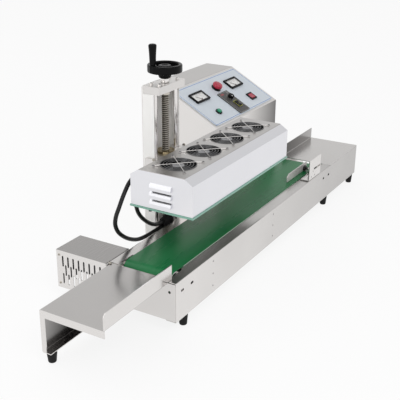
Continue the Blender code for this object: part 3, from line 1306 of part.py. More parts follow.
def cabinet_back(base):
    """Back plate with vents, mains inlet and fuse holder."""
    edge = CABINET_SHEET + GAP
    low, high = Z_BASE + edge, CABINET_TOP - edge
    left, right = X_CABINET + edge, X_CABINET + CABINET_WIDTH - edge
    face = Y_BACK
    shape = block((left, face - CABINET_SHEET, low), (right, face, high))
    x, z = right - INLET_INSET, low + INLET_LEVEL
    w, h = INLET_WIDTH / 2, INLET_HEIGHT / 2
    inlet = prism(rounded(rectangle((x - w, z - h), (x + w, z + h)), INLET_CORNER), "Y", face - INLET_DEPTH,
                  face + INLET_RISE)
    w, h = w - INLET_WALL, h - INLET_WALL
    floor = face - INLET_DEPTH + INLET_RISE + SHEET
    recess = prism(rounded(rectangle((x - w, z - h), (x + w, z + h)), INLET_WALL / 2), "Y", floor,
                   face + 2 * INLET_RISE)
    pins = [block((x + a - PIN_WIDTH / 2, floor - SHEET, z + b - PIN_WIDTH),
                  (x + a + PIN_WIDTH / 2, face - SHEET, z + b + PIN_WIDTH))
            for a, b in ((-PIN_PITCH, -PIN_WIDTH), (0.0, PIN_WIDTH), (PIN_PITCH, -PIN_WIDTH))]
    axis = (x - FUSE_OFFSET, face, z)
    holder = rod(axis, "Y", FUSE_DIAMETER, -INLET_DEPTH, BACK_REACH / 2, SMALL_STEPS, 0.001)
    cap = rod(axis, "Y", 0.75 * FUSE_DIAMETER, BACK_REACH / 3, BACK_REACH, SMALL_STEPS, 0.0008)
    start = left + BACK_VENT_START * CABINET_WIDTH / DRAWN_WIDTH
    vents = [prism(slot_outline((start + k * BACK_VENT_PITCH, high - BACK_VENT_DROP), BACK_VENT_LENGTH,
                                BACK_VENT_WIDTH, upright=True, steps=3), "Y", face - 2 * SHEET, face + SHEET)
             for k in range(BACK_VENTS)]
    return piece("cabinet_back", shape, "stainless", joins=[inlet, holder, cap], cuts=[merged(*vents), recess],
                 later=pins, parent=base)


def box_on_panel(width, height, low, high, corner=0.001, centre=(0, 0)):
    """Upright box round a place on the panel."""
    a, b = width / 2, height / 2
    outline = rectangle((centre[0] - a, centre[1] - b), (centre[0] + a, centre[1] + b))
    return prism(rounded(outline, corner), "Z", low, high)


def disc_on_panel(diameter, low, high, centre=(0, 0), steps=SMALL_STEPS, chamfer=0.0):
    """Round bar standing on the panel."""
    return rod((*centre, 0), "Z", diameter, low, high, steps, chamfer)


def control_panel(base):
    """Sheet on the slope with its collars, the controller's plate and both switch frames."""
    edge = PANEL_MARGIN
    outline = rounded(rectangle((edge, edge), (CABINET_WIDTH - edge, SLOPE_LENGTH - edge)), PANEL_CORNER)
    shape = prism(outline, "Z", GAP, PANEL_TOP)
    sheet = (GAP + PANEL_SHEET / 2, PANEL_TOP)
    joins = [box_on_panel(CONTROLLER_WIDTH, CONTROLLER_HEIGHT, sheet[0], PANEL_TOP + CONTROLLER_RISE, 0.002,
                          CONTROLLER_PLACE),
             disc_on_panel(ESTOP_DIAMETER - 0.002, sheet[0], PANEL_TOP + ESTOP_COLLAR, ESTOP_PLACE),
             disc_on_panel(START_DIAMETER + 0.002, sheet[0], PANEL_TOP + START_COLLAR, START_PLACE),
             box_on_panel(POWER_WIDTH, POWER_HEIGHT, GAP - 0.018, PANEL_TOP + 0.002, 0.001, POWER_PLACE),
             box_on_panel(RUN_WIDTH, RUN_HEIGHT, GAP - 0.014, PANEL_TOP + CONTROLLER_RISE + 0.0015, 0.001,
                          RUN_PLACE)]
    cuts = [box_on_panel(METER_WIDTH - METER_NECK, METER_HEIGHT - METER_NECK, GAP - SHEET, PANEL_TOP + SHEET, 0.001,
                         place) for place in (METER_LEFT, METER_RIGHT)]
    cuts += [disc_on_panel(ESTOP_STEM + CLEAR, -SHEET, PANEL_TOP + 0.006, ESTOP_PLACE),
             disc_on_panel(START_DIAMETER - 0.003 + CLEAR, -SHEET, PANEL_TOP + 0.006, START_PLACE),
             disc_on_panel(KNOB_SHAFT + CLEAR, -SHEET, PANEL_TOP + 0.006, KNOB_PLACE, HOLE_STEPS),
             box_on_panel(POWER_WIDTH - 2 * ROCKER_BORDER, POWER_HEIGHT - 2 * ROCKER_BORDER, GAP - 0.015,
                          PANEL_TOP + 0.006, 0.0005, POWER_PLACE),
             box_on_panel(RUN_WIDTH - ROCKER_BORDER, RUN_HEIGHT - ROCKER_BORDER, GAP - 0.011,
                          PANEL_TOP + 0.008, 0.0005, RUN_PLACE)]
    return panel_piece("control_panel", (0, 0), shape, "panel_grey", joins=joins, cuts=cuts, parent=base)


def meter(side, place, base):
    """Panel meter with a sunk dial, and its needle on a joint of its own."""
    low, high = PANEL_TOP + GAP, PANEL_TOP + METER_RISE
    shape = box_on_panel(METER_WIDTH, METER_HEIGHT, low, high)
    body = box_on_panel(METER_WIDTH - METER_NECK - CLEAR, METER_HEIGHT - METER_NECK - CLEAR, -METER_DEPTH, low + SHEET / 2)
    dial = box_on_panel(METER_WIDTH - 2 * METER_BORDER, METER_HEIGHT - 2 * METER_BORDER, PANEL_TOP + METER_FLOOR,
                        high + SHEET, 0.0008)
    panel_piece(f"meter_{side}", place, shape, "meter_black", joins=[body], cuts=[dial], parent=base)
    pivot = (place[0], place[1] - METER_HEIGHT / 2 + METER_BORDER + 0.0028)
    floor = PANEL_TOP + METER_FLOOR + GAP
    needle = disc_on_panel(0.0036, floor, floor + 0.0016, steps=12)
    pointer = block((-0.0004, -0.001, floor + 0.0006), (0.0004, NEEDLE_LENGTH, floor + 0.0011))
    pointer = moved(pointer, Matrix.Rotation(NEEDLE_REST, 4, "Z"))
    panel_piece(f"needle_{side}", pivot, needle, "needle_red", joins=[pointer],
                parent=panel_carrier(f"needle_{side}_axis", pivot, base))


def panel_carrier(name, place, parent):
    """Empty on the panel for one moving control, its Z along the panel's outward direction."""
    empty = carrier(name)
    empty.matrix_world = PANEL_FRAME @ Matrix.Translation((place[0], place[1], 0))
    empty.parent = parent
    empty.matrix_parent_inverse = parent.matrix_world.inverted()
    return empty


def estop_button(base):
    """Mushroom button on its stem."""
    low = PANEL_TOP + ESTOP_COLLAR + ESTOP_TRAVEL + GAP
    s, r = ESTOP_STEM / 2, ESTOP_DIAMETER / 2
    profile = [(0, -0.008), (s, -0.008), (s, low), (r - 0.002, low), (r, low + 0.0025), (r - 0.0005, low + 0.005),
               (r - 0.003, low + 0.0075), (r - 0.007, low + 0.0085), (0, low + 0.009)]
    panel_piece("estop_button", ESTOP_PLACE, turned(profile, (0, 0, 0), "Z", SMALL_STEPS + 8), "button_red",
                parent=panel_carrier("estop_axis", ESTOP_PLACE, base))


def start_button(base):
    """Flush push button that springs back."""
    high = PANEL_TOP + START_COLLAR + START_TRAVEL + GAP
    shape = disc_on_panel(START_DIAMETER - 0.003, -0.006, high + 0.001, steps=SMALL_STEPS + 4, chamfer=0.0008)
    panel_piece("start_button", START_PLACE, shape, "button_green",
                parent=panel_carrier("start_axis", START_PLACE, base))


def rocker(name, place, width, height, level, finish, base):
    """Rocker that tilts about the panel's X direction, its face a shallow V."""
    w, h = width / 2, height / 2
    rise = tan(ROCKER_THROW) * h
    outline = [(-h, level - 0.004), (0, level - 0.006), (h, level - 0.004), (h - 0.0006, level + 0.001 + rise),
               (0, level + 0.001), (-h + 0.0006, level + 0.001 + rise)]
    shape = prism(outline, "X", -w, w)
    frame_place = (place[0], place[1])
    panel_piece(name, frame_place, shape, finish, parent=panel_carrier(f"{name}_axis", frame_place, base))


def speed_knob(base):
    """Ribbed knob on its shaft, with a sunk pointer line."""
    low = PANEL_TOP + CONTROLLER_RISE + 0.0008
    s, r = KNOB_SHAFT / 2, KNOB_DIAMETER / 2
    profile = [(0, -0.008), (s, -0.008), (s, low), (r, low), (r - 0.0008, low + KNOB_HEIGHT - 0.001),
               (r - 0.0018, low + KNOB_HEIGHT), (0, low + KNOB_HEIGHT)]
    line = block((-0.0005, 0.001, low + KNOB_HEIGHT - 0.0006), (0.0005, r + SHEET, low + KNOB_HEIGHT + SHEET))
    ribs = merged(*(rod((r * cos(a), r * sin(a), 0), "Z", 0.0012, low + 0.001, low + KNOB_HEIGHT + SHEET, 8)
                    for a in (radians(15 + 30 * k) for k in range(12))))
    panel_piece("speed_knob", KNOB_PLACE, turned(profile, (0, 0, 0), "Z", SMALL_STEPS + 8), "bakelite_black",
                cuts=[line, ribs], parent=panel_carrier("speed_axis", KNOB_PLACE, base))


def cabinet(base):
    """Cabinet with everything on it."""
    cabinet_shell(base)
    cabinet_back(base)
    control_panel(base)
    meter("left", METER_LEFT, base)
    meter("right", METER_RIGHT, base)
    estop_button(base)
    start_button(base)
    rocker("power_rocker", POWER_PLACE, POWER_WIDTH - 2 * ROCKER_BORDER - CLEAR,
           POWER_HEIGHT - 2 * ROCKER_BORDER - 0.0016, PANEL_TOP + 0.0015, "button_red", base)
    rocker("run_switch", RUN_PLACE, RUN_WIDTH - ROCKER_BORDER - CLEAR, RUN_HEIGHT - ROCKER_BORDER - 0.0016,
           PANEL_TOP + CONTROLLER_RISE + 0.001, "meter_black", base)
    speed_knob(base)


def conveyor(base):
    """Frame, tables, belt, rollers and drive."""
    side_panel("front_side_panel", Y_FRONT, 1, base)
    side_panel("back_side_panel", Y_REAR, -1, base)
    infeed_end_plate(base)
    belt_bed(base)
    conveyor_belt(base)
    drive = carrier("drive_axis", (X_DRIVE, Y_MIDDLE, Z_AXLE), base)
    roller("drive_roller", X_DRIVE, True, drive)
    shaft_coupling(drive)
    roller("tail_roller", X_TAIL, False, carrier("tail_axis", (X_TAIL, Y_MIDDLE, Z_AXLE), base))
    gear_motor(base)
    motor_mount(base)
    motor_cover(base)
    infeed_table(base)
    outfeed_table(base)
    guide_bracket(base)
    slider = carrier("guide_slide", (X_IN + GUIDE_ROD_PLACE, Y_FRONT, Z_BASE + GUIDE_ROD_LEVEL), base)
    guide_plate(slider)
    guide_knob(carrier("guide_knob_axis", (X_IN + BRACKET_START, Y_FRONT + BRACKET_FOOT / 2,
                                           Z_BASE + GUIDE_ROD_LEVEL), base))
    feet(base)


def column(base, lift):
    """Column, its screw and wheel, and the carriage on them."""
    column_base(base)
    column_channel(base)
    column_cap(base)
    guide_rods(base)
    turning = carrier("screw_axis", (X_COLUMN, Y_COLUMN, CAP_TOP), base)
    lead_screw(turning)
    handwheel(turning)
    x, y = handle_place()
    wheel_handle(carrier("handle_axis", (x, y, CAP_TOP), turning))
    lift_carriage(lift)
    lead_nut(lift)


def main():
    for old in list(bpy.data.objects):
        bpy.data.objects.remove(old, do_unlink=True)
    base = carrier("machine_base")
    lift = carrier("head_lift", (X_COLUMN, Y_COLUMN, HEAD_BOTTOM), base)
    conveyor(base)
    column(base, lift)
    head_shell(lift)
    head_base_plate(lift)
    induction_coil(lift)
    fans(lift)
    head_gland(lift)
    rail_gland(base)
    head_cables(base)
    cabinet(base)
    bpy.context.view_layer.update()


main()
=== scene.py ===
"""Looks of a tabletop induction cap sealer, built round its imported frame.

Metres, in the frame's own axes: +X along the belt, +Y towards the cabinet, +Z up.
"""
import json
import math

import bmesh
import bpy
import numpy as np
from bpy.props import FloatProperty, FloatVectorProperty, IntProperty, PointerProperty
from mathutils import Matrix, Vector

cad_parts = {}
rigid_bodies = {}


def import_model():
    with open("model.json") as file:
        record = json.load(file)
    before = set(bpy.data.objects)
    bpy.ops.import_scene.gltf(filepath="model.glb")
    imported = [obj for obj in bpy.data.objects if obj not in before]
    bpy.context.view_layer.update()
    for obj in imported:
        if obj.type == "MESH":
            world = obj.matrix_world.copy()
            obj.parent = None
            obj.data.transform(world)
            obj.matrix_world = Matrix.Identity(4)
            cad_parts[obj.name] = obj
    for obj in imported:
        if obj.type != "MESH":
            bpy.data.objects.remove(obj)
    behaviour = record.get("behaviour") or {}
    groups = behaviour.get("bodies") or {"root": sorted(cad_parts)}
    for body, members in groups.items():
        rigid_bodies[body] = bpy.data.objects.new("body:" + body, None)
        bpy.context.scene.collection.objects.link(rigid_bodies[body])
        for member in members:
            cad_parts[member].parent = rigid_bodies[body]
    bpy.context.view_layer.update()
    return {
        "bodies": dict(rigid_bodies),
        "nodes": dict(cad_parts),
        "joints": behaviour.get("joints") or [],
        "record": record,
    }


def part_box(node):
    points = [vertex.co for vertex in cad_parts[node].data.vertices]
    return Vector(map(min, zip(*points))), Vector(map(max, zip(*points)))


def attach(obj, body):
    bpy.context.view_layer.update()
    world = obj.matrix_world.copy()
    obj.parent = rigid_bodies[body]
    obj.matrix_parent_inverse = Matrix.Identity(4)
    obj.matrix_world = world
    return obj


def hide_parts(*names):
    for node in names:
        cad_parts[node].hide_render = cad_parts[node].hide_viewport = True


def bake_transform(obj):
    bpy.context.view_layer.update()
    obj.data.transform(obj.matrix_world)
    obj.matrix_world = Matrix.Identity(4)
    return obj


bl_info = {
    "name": "Induction cap sealer",
    "version": (1, 0, 0),
    "blender": (4, 5, 0),
    "location": "View3D > Sidebar > Sealer",
    "description": "Finishes and fine surfaces of a tabletop induction cap sealer",
    "category": "Object",
}

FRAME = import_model()
TAU = 2 * math.pi


def node_box(name):
    """Lowest corner, highest corner, middle and size of a frame node."""
    low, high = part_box(name)
    middle = [(a + b) / 2 for a, b in zip(low, high)]
    return low, high, middle, [b - a for a, b in zip(low, high)]


# Settings that a user would change

def size_setting(name, description, default):
    """A length in metres."""
    return FloatProperty(name=name, description=description, default=default, min=0.0, unit="LENGTH",
        precision=5)


def colour_setting(name, description, default):
    """A linear colour."""
    return FloatVectorProperty(name=name, description=description, default=default, size=3, min=0.0,
        max=1.0, subtype="COLOR")


class SealerSizes(bpy.types.PropertyGroup):
    """Sizes of the fine surfaces."""

    thread_lead: size_setting("Screw lead", "Rise of the lifting screw in one turn", 0.004)
    thread_depth: size_setting("Thread depth", "Depth of the lifting screw's thread", 0.0011)
    guard_wire: size_setting("Guard wire", "Diameter of the fan guards' wire", 0.0011)
    guard_rings: IntProperty(name="Guard rings", description="Wire rings on each fan guard", default=4,
        min=1)
    blade_count: IntProperty(name="Fan blades", description="Blades on each fan", default=7, min=2)
    cable_diameter: size_setting("Cable diameter", "Outside diameter of the head's cables", 0.0075)
    screw_head: size_setting("Screw head", "Diameter of the pan heads that hold the sheets", 0.0058)
    wheel_round: size_setting("Wheel rounding", "Radius along the hand wheel's rim edges", 0.0026)


class SealerColours(bpy.types.PropertyGroup):
    """Colours of the finishes."""

    steel: colour_setting("Steel", "Polished stainless sheet", (0.71, 0.69, 0.675))
    head: colour_setting("Head", "Satin sheet of the sealing head", (0.79, 0.79, 0.82))
    belt: colour_setting("Belt", "Green coated belt", (0.013, 0.170, 0.055))
    laminate: colour_setting("Base plate", "Laminate plate under the head", (0.20, 0.42, 0.33))
    panel: colour_setting("Panel", "Printed control panel", (0.66, 0.715, 0.775))
    line: colour_setting("Panel line", "Border line printed on the panel", (0.05, 0.17, 0.50))
    black: colour_setting("Black parts", "Black mouldings", (0.004, 0.004, 0.0043))
    red: colour_setting("Red parts", "Emergency button and rocker", (0.43, 0.012, 0.045))
    green: colour_setting("Green button", "Start button", (0.02, 0.30, 0.16))
    brass: colour_setting("Brass", "Nut of the lifting screw", (0.40, 0.33, 0.20))
    screw: colour_setting("Lifting screw", "Oiled steel of the lifting screw", (0.50, 0.47, 0.42))


class SealerStage(bpy.types.PropertyGroup):
    """Camera and light."""

    lens: FloatProperty(name="Lens", description="Focal length on a 36 mm sensor", default=69.5, min=10.0)
    key: FloatProperty(name="Key light", description="Power of the main lamp", default=26.0, min=0.0)
    fill: FloatProperty(name="Fill light", description="Power of the lamp on the infeed side",
        default=14.0, min=0.0)
    sky: FloatProperty(name="Sky", description="Strength of the plain surrounding light", default=0.60,
        min=0.0)


def sizes():
    return bpy.context.scene.sealer_sizes


def colours():
    return bpy.context.scene.sealer_colours


# Shader maths

def fill(tree, slot, value):
    """Links a field to a socket, or sets the socket's own value."""
    if isinstance(value, Field):
        tree.links.new(value.socket, slot)
    else:
        slot.default_value = value


def operation(kind, swapped=False):
    """Method that puts a Math node on two values."""
    def method(self, other):
        return self.math(kind, *((other, self) if swapped else (self, other)))
    return method


class Field:
    """A shader socket that operators turn into Math nodes."""

    def __init__(self, tree, socket):
        self.tree, self.socket = tree, socket

    def math(self, kind, *values):
        node = self.tree.nodes.new("ShaderNodeMath")
        node.operation = kind
        for slot, value in zip(node.inputs, values):
            fill(self.tree, slot, value)
        return Field(self.tree, node.outputs[0])

    __add__ = __radd__ = operation("ADD")
    __sub__ = operation("SUBTRACT")
    __rsub__ = operation("SUBTRACT", swapped=True)
    __mul__ = __rmul__ = operation("MULTIPLY")
    __truediv__ = operation("DIVIDE")
    above = operation("GREATER_THAN")
    under = operation("LESS_THAN")
    most = operation("MAXIMUM")
    least = operation("MINIMUM")
    power = operation("POWER")

    def size(self):
        return self.math("ABSOLUTE", self)

    def clamped(self):
        """Held between 0 and 1."""
        return self.least(1.0).most(0.0)

    def band(self, middle, half):
        """1 within half of the middle, else 0."""
        return (self - middle).size().under(half)

    def repeat(self, pitch):
        """Distance to the nearest multiple of the pitch."""
        return self.math("PINGPONG", self, pitch / 2)


def apart(x, y):
    """Distance from its two parts."""
    return (x * x + y * y).power(0.5)


class Finish:
    """A material under construction."""

    def __init__(self, name, colour, roughness, metallic=0.0, **settings):
        self.material = bpy.data.materials.new(name)
        self.material.use_nodes = True
        self.tree = self.material.node_tree
        self.shader = self.tree.nodes["Principled BSDF"]
        self.shader.inputs["Base Color"].default_value = (*colour, 1.0)
        self.shader.inputs["Roughness"].default_value = roughness
        self.shader.inputs["Metallic"].default_value = metallic
        for label, value in settings.items():
            self.shader.inputs[label.replace("_", " ")].default_value = value

    def node(self, kind, output=0, **values):
        """One output of a new node whose sockets get these values or links."""
        made = self.tree.nodes.new("ShaderNode" + kind)
        for label, value in values.items():
            fill(self.tree, made.inputs[label], value)
        return Field(self.tree, made.outputs[output])

    def place(self, origin=(0, 0, 0), turn=(0, 0, 0), stretch=(1, 1, 1)):
        """Object coordinates, moved so that the origin is at 0, turned and stretched."""
        coordinates = self.node("TexCoord", output=3)
        shifted = self.node("Mapping", Vector=coordinates, Location=tuple(-c for c in origin))
        return self.node("Mapping", Vector=shifted, Rotation=turn, Scale=stretch)

    def split(self, place):
        """The three parts of a vector."""
        made = self.node("SeparateXYZ", Vector=place).socket.node
        return [Field(self.tree, out) for out in made.outputs]

    def xyz(self):
        """The three object coordinates."""
        return self.split(self.place())

    def noise(self, place, scale, detail=3.0, roughness=0.5):
        """Smooth noise from 0 to 1."""
        return self.node("TexNoise", Vector=place, Scale=scale, Detail=detail, Roughness=roughness)

    def streaks(self, grain):
        """Fine marks along the axis that the grain stretches least."""
        return self.noise(self.place(stretch=grain), 1.0, 2.0, 0.6)

    def clouds(self, scale, detail=2.0):
        """Soft patches; a higher scale makes them smaller."""
        return self.noise(self.place(), scale, detail)

    def mix(self, share, a, b):
        """Colour a where the share is 0, b where it is 1."""
        made = self.tree.nodes.new("ShaderNodeMix")
        made.data_type = "RGBA"
        for place, value in ((0, share), (6, a), (7, b)):
            fill(self.tree, made.inputs[place], (*value[:3], 1.0) if hasattr(value, "__len__") else value)
        return Field(self.tree, made.outputs[2])

    def tones(self, share, colour, low, high):
        """The colour times low where the share is 0, times high where it is 1."""
        return self.mix(share, shade(colour, low), shade(colour, high))

    def done(self, colour, roughness, metallic=None):
        """The material, with the fields that drive its colour, roughness and metal."""
        for label, value in (("Base Color", colour), ("Roughness", roughness), ("Metallic", metallic)):
            if value is not None:
                self.tree.links.new(value.socket, self.shader.inputs[label])
        return self.material

    def bump(self, height, distance, strength=1.0):
        """Relief of the surface, in metres at a height of 1."""
        made = self.tree.nodes.new("ShaderNodeBump")
        made.inputs["Strength"].default_value = strength
        made.inputs["Distance"].default_value = distance
        self.tree.links.new(height.socket, made.inputs["Height"])
        self.tree.links.new(made.outputs[0], self.shader.inputs["Normal"])


def shade(colour, factor):
    """The colour made lighter or darker."""
    return tuple(min(1.0, c * factor) for c in colour)


def sheet_start(name, colour, roughness, grain, scale=9.0):
    """Start of a polished sheet: its finish, streaks, clouds and object coordinates."""
    made = Finish(name, colour, roughness, 1.0)
    return made, made.streaks(grain), made.clouds(scale), made.xyz()


def brushed(name, colour, roughness, grain=(10, 1000, 1000), spread=0.10, tone=0.06, metallic=1.0):
    """Brushed or rolled sheet: fine streaks along one axis and soft clouds of tone."""
    made = Finish(name, colour, roughness, metallic)
    streak = made.streaks(grain)
    cloud = made.clouds(9.0)
    made.bump(streak, 0.00001, 0.2)
    return made.done(made.tones(cloud, colour, 1 - tone, 1 + tone),
        roughness + (streak - 0.5) * spread + (cloud - 0.5) * spread)


def moulded(name, colour, roughness, grain=900.0, depth=0.00004, **settings):
    """Moulded plastic or rubber with a fine grain and slight wear in its gloss."""
    made = Finish(name, colour, roughness, **settings)
    fine = made.clouds(grain)
    wide = made.clouds(40.0)
    made.bump(fine, depth, 0.5)
    return made.done(made.tones(wide, colour, 0.85, 1.2), roughness + (wide - 0.5) * 0.12)


# Surfaces

def grid(points, around=False, along=False):
    """Points (rows, columns, 3) and their quads, closed across or along the rows where asked."""
    rows, columns = points.shape[:2]
    index = np.arange(rows * columns).reshape(rows, columns)
    if along:
        index = np.vstack((index, index[:1]))
    if around:
        index = np.hstack((index, index[:, :1]))
    quads = np.stack((index[:-1, :-1], index[1:, :-1], index[1:, 1:], index[:-1, 1:]), -1)
    return points.reshape(-1, 3), quads.reshape(-1, 4)


def merged(*parts):
    """Several sets of points and quads as one."""
    starts = np.cumsum([0] + [len(points) for points, _ in parts[:-1]])
    return (np.vstack([points for points, _ in parts]), np.vstack([quads + start for start,
        (_, quads) in zip(starts, parts)]))


def moved(part, matrix):
    """The same part carried by a 4x4 matrix."""
    turn = np.array(matrix)
    return part[0] @ turn[:3, :3].T + turn[:3, 3], part[1]


# Finishes by the slot that they fill
SLOTS = {
    "bright_steel": ("bright steel", "oiled steel", "dark wire", "thread steel"),
    "bakelite_black": ("bakelite", "moulding", "white paint", "yellow paint"),
    "fan_black": ("fan", "hub disc"),
    "rubber_black": ("rubber",),
    "cable_black": ("sheath",),
    "belt_green": ("belt",),
    "button_red": ("red",),
    "button_green": ("green",),
}


def placed(name, data):
    """New object of some data, linked to the scene."""
    made = bpy.data.objects.new(name, data)
    bpy.context.scene.collection.objects.link(made)
    return made


def piece(name, body, finish, *parts, angle=35, stands_for=(), slot=None):
    """Mesh at the origin, smooth but for edges sharper than the angle, that rides on its body."""
    points, quads = merged(*parts)
    mesh = bpy.data.meshes.new(name)
    mesh.from_pydata(points.tolist(), [], quads.tolist())
    bm = bmesh.new()
    bm.from_mesh(mesh)
    bmesh.ops.remove_doubles(bm, verts=bm.verts, dist=1e-6)
    bmesh.ops.dissolve_degenerate(bm, edges=bm.edges, dist=1e-7)
    bmesh.ops.recalc_face_normals(bm, faces=bm.faces)
    bm.to_mesh(mesh)
    bm.free()
    mesh.shade_smooth()
    mesh.set_sharp_from_angle(angle=math.radians(angle))
    made = placed(name, mesh)
    mesh.materials.append(FRAME["finishes"][finish] if isinstance(finish, str) else finish)
    if body:
        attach(made, body)
    for node in stands_for:
        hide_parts(node)
    slot = slot or next(slot for slot, names in SLOTS.items() if finish in names)
    return made


def rounded(path, radius, steps=4, closed=False):
    """Profile with its corners eased: a parabola through each corner's two neighbours, a radius away."""
    path = np.array(path, float)
    before, after = np.roll(path, 1, 0), np.roll(path, -1, 0)
    back, ahead = before - path, after - path
    reach = [np.minimum(radius, 0.5 * np.linalg.norm(v, axis=1))[:,
        None] / np.maximum(np.linalg.norm(v, axis=1)[:, None], 1e-9) for v in (back, ahead)]
    a, b = path + back * reach[0], path + ahead * reach[1]
    t = np.linspace(0, 1, steps + 1)[None, :, None]
    curve = (1 - t) ** 2 * a[:, None] + 2 * t * (1 - t) * path[:, None] + t ** 2 * b[:, None]
    if closed:
        return curve.reshape(-1, path.shape[1])
    return np.vstack((path[:1], curve[1:-1].reshape(-1, path.shape[1]), path[-1:]))


def ring(count):
    """Angles once round."""
    return np.linspace(0, TAU, count, endpoint=False)


def revolve(profile, centre=(0, 0, 0), count=48, closed=False, wave=None):
    """Profile of (radius, height) turned about Z; wave scales the radius by angle and height."""
    profile = np.array(profile, float)
    if closed:
        profile = np.vstack((profile, profile[:1]))
    angle = ring(count)[:, None]
    radius, height = profile[None, :, 0], np.broadcast_to(profile[None, :, 1], (count, len(profile)))
    if wave:
        radius = radius * wave(angle, height)
    points = np.stack((radius * np.cos(angle), radius * np.sin(angle), height), -1)
    return grid(points + np.array(centre), along=True)


def swept(path, section, side, closed=False):
    """Section (outline of (across, up) points) carried along a path whose frames keep the given side."""
    path, section, side = np.array(path, float), np.array(section, float), np.array(side, float)
    if closed:
        tangent = np.roll(path, -1, 0) - np.roll(path, 1, 0)
    else:
        tangent = np.gradient(path, axis=0)
    tangent /= np.linalg.norm(tangent, axis=1)[:, None]
    across = side - (tangent @ side)[:, None] * tangent
    across /= np.linalg.norm(across, axis=1)[:, None]
    up = np.cross(tangent, across)
    points = (path[:, None] + across[:, None] * section[None, :, :1] + up[:, None] * section[None, :, 1:])
    return grid(points, around=True, along=closed)


def disc_outline(radius, count=20):
    """Round section."""
    angle = ring(count)
    return np.stack((radius * np.cos(angle), radius * np.sin(angle)), -1)


def box_outline(low, high, radius, steps=4):
    """Rounded rectangle from its two corners."""
    corners = [(low[0], low[1]), (high[0], low[1]), (high[0], high[1]), (low[0], high[1])]
    return rounded(corners, radius, steps, closed=True)


def rectangle(width, height, radius, steps=4):
    """Rounded rectangle round the origin."""
    return box_outline((-width / 2, -height / 2), (width / 2, height / 2), radius, steps)


def slab(outline, low, high, ease=0.0, steps=3):
    """Upright slab of an outline, its upper edge eased and its faces closed to the middle."""
    outline = np.array(outline, float)
    middle = outline.mean(0)
    t = np.linspace(0, math.pi / 2, steps + 1)
    inward = [0.0, 0.0] + list(ease * (1 - np.cos(t)))
    height = [low, low] + list(high - ease + ease * np.sin(t))
    reach = np.linalg.norm(outline - middle, axis=1).mean()
    rows = [np.column_stack((middle + (outline - middle) * (1 - share / reach),
        np.full(len(outline), z))) for share, z in zip(inward, height)]
    rows[0] = np.column_stack((np.tile(middle, (len(outline), 1)), np.full(len(outline), low)))
    rows.append(np.column_stack((np.tile(middle, (len(outline), 1)), np.full(len(outline), high))))
    return grid(np.stack(rows), around=True)


def frame_slab(outer, inner, low, high, ease):
    """Raised frame between two outlines of the same count, with both upper edges eased."""
    outer, inner = np.array(outer, float), np.array(inner, float)
    width = np.linalg.norm(outer - inner, axis=1).mean()
    share = ease / width
    steps = [(0.0, low), (0.0, high - ease), (share * 0.3, high - ease * 0.3), (share, high),
        (1 - share, high), (1 - share * 0.3, high - ease * 0.3), (1.0, high - ease), (1.0, low)]
    rows = [np.column_stack((outer + (inner - outer) * s, np.full(len(outer), z))) for s, z in steps]
    return grid(np.stack(rows), around=True, along=True)


def helix_thread(place, low, high, radius, depth, lead, per_turn=28):
    """Trapezoid thread: one flank profile carried along a helix whose rise in a turn is its lead."""
    turns = (high - low) / lead - 1
    angle = np.linspace(0, TAU * turns, int(turns * per_turn))[:, None]
    share = np.array([0.0, 0.12, 0.36, 0.50, 0.74, 1.0])[None]
    crest = np.array([0.0, 0.0, 1.0, 1.0, 0.0, 0.0])[None]
    fade = np.clip(np.minimum(angle, TAU * turns - angle) / math.pi, 0, 1)
    r = radius - depth + depth * crest * fade
    z = low + lead * (angle / TAU + share)
    return grid(np.stack((place[0] + r * np.cos(angle), place[1] + r * np.sin(angle), z), -1))


def pan_head(diameter, height, matrix, count=32):
    """Screw head: a low dome with a cross recess, sunk where the distance to either bar is small."""
    radius = diameter / 2
    share = np.array([0.0, 0.12, 0.24, 0.34, 0.42, 0.5, 0.62, 0.8, 0.92, 1.0, 1.0])[None]
    angle = ring(count)[:, None]
    x, y = radius * share * np.cos(angle), radius * share * np.sin(angle)
    dome = height * np.sqrt(np.clip(1 - 0.85 * share ** 2, 0, 1))
    bar = np.minimum(np.abs(x), np.abs(y))
    sunk = np.clip((radius * 0.17 - bar) / (radius * 0.05), 0, 1) * np.clip((0.5 - share) / 0.08, 0, 1)
    z = dome - 0.7 * height * sunk
    z[:, -1] = 0
    return moved(grid(np.stack((x, y, z), -1), along=True), matrix)


def socket_head(diameter, height, matrix, count=36):
    """Cap screw: a cylinder with a chamfered top and a six-sided socket."""
    angle = ring(count)[:, None]
    flat = math.cos(math.pi / 6) / np.cos((angle + math.pi / 6) % (TAU / 6) - math.pi / 6)
    r, hex_r = diameter / 2, diameter * 0.29
    radius = np.hstack([np.zeros_like(angle), hex_r * flat, hex_r * flat] + [np.full_like(angle,
        v) for v in (r * 0.88, r, r)])
    z = np.broadcast_to(np.array([0.45, 0.45, 1.0, 1.0, 0.88, 0.0]) * height, radius.shape)
    return moved(grid(np.stack((radius * np.cos(angle), radius * np.sin(angle), z), -1), along=True),
        matrix)


def facing(place, outward):
    """Matrix whose Z points outward at a place."""
    turn = Vector(outward).to_track_quat("Z", "Y").to_matrix().to_4x4()
    return Matrix.Translation(place) @ turn


def smooth_line(route, steps=24):
    """Catmull-Rom curve through the route's points."""
    route = np.array(route, float)
    points = np.vstack((2 * route[0] - route[1], route, 2 * route[-1] - route[-2]))
    p0, p1, p2, p3 = (points[k:len(points) - 3 + k, None] for k in range(4))
    t = np.linspace(0, 1, steps, endpoint=False)[None, :, None]
    curve = 0.5 * (2 * p1 + (p2 - p0) * t + (2 * p0 - 5 * p1 + 4 * p2 - p3) * t ** 2
                   + (3 * p1 - p0 - 3 * p2 + p3) * t ** 3)
    return np.vstack((curve.reshape(-1, 3), route[-1:]))


# Finishes of the frame's own nodes

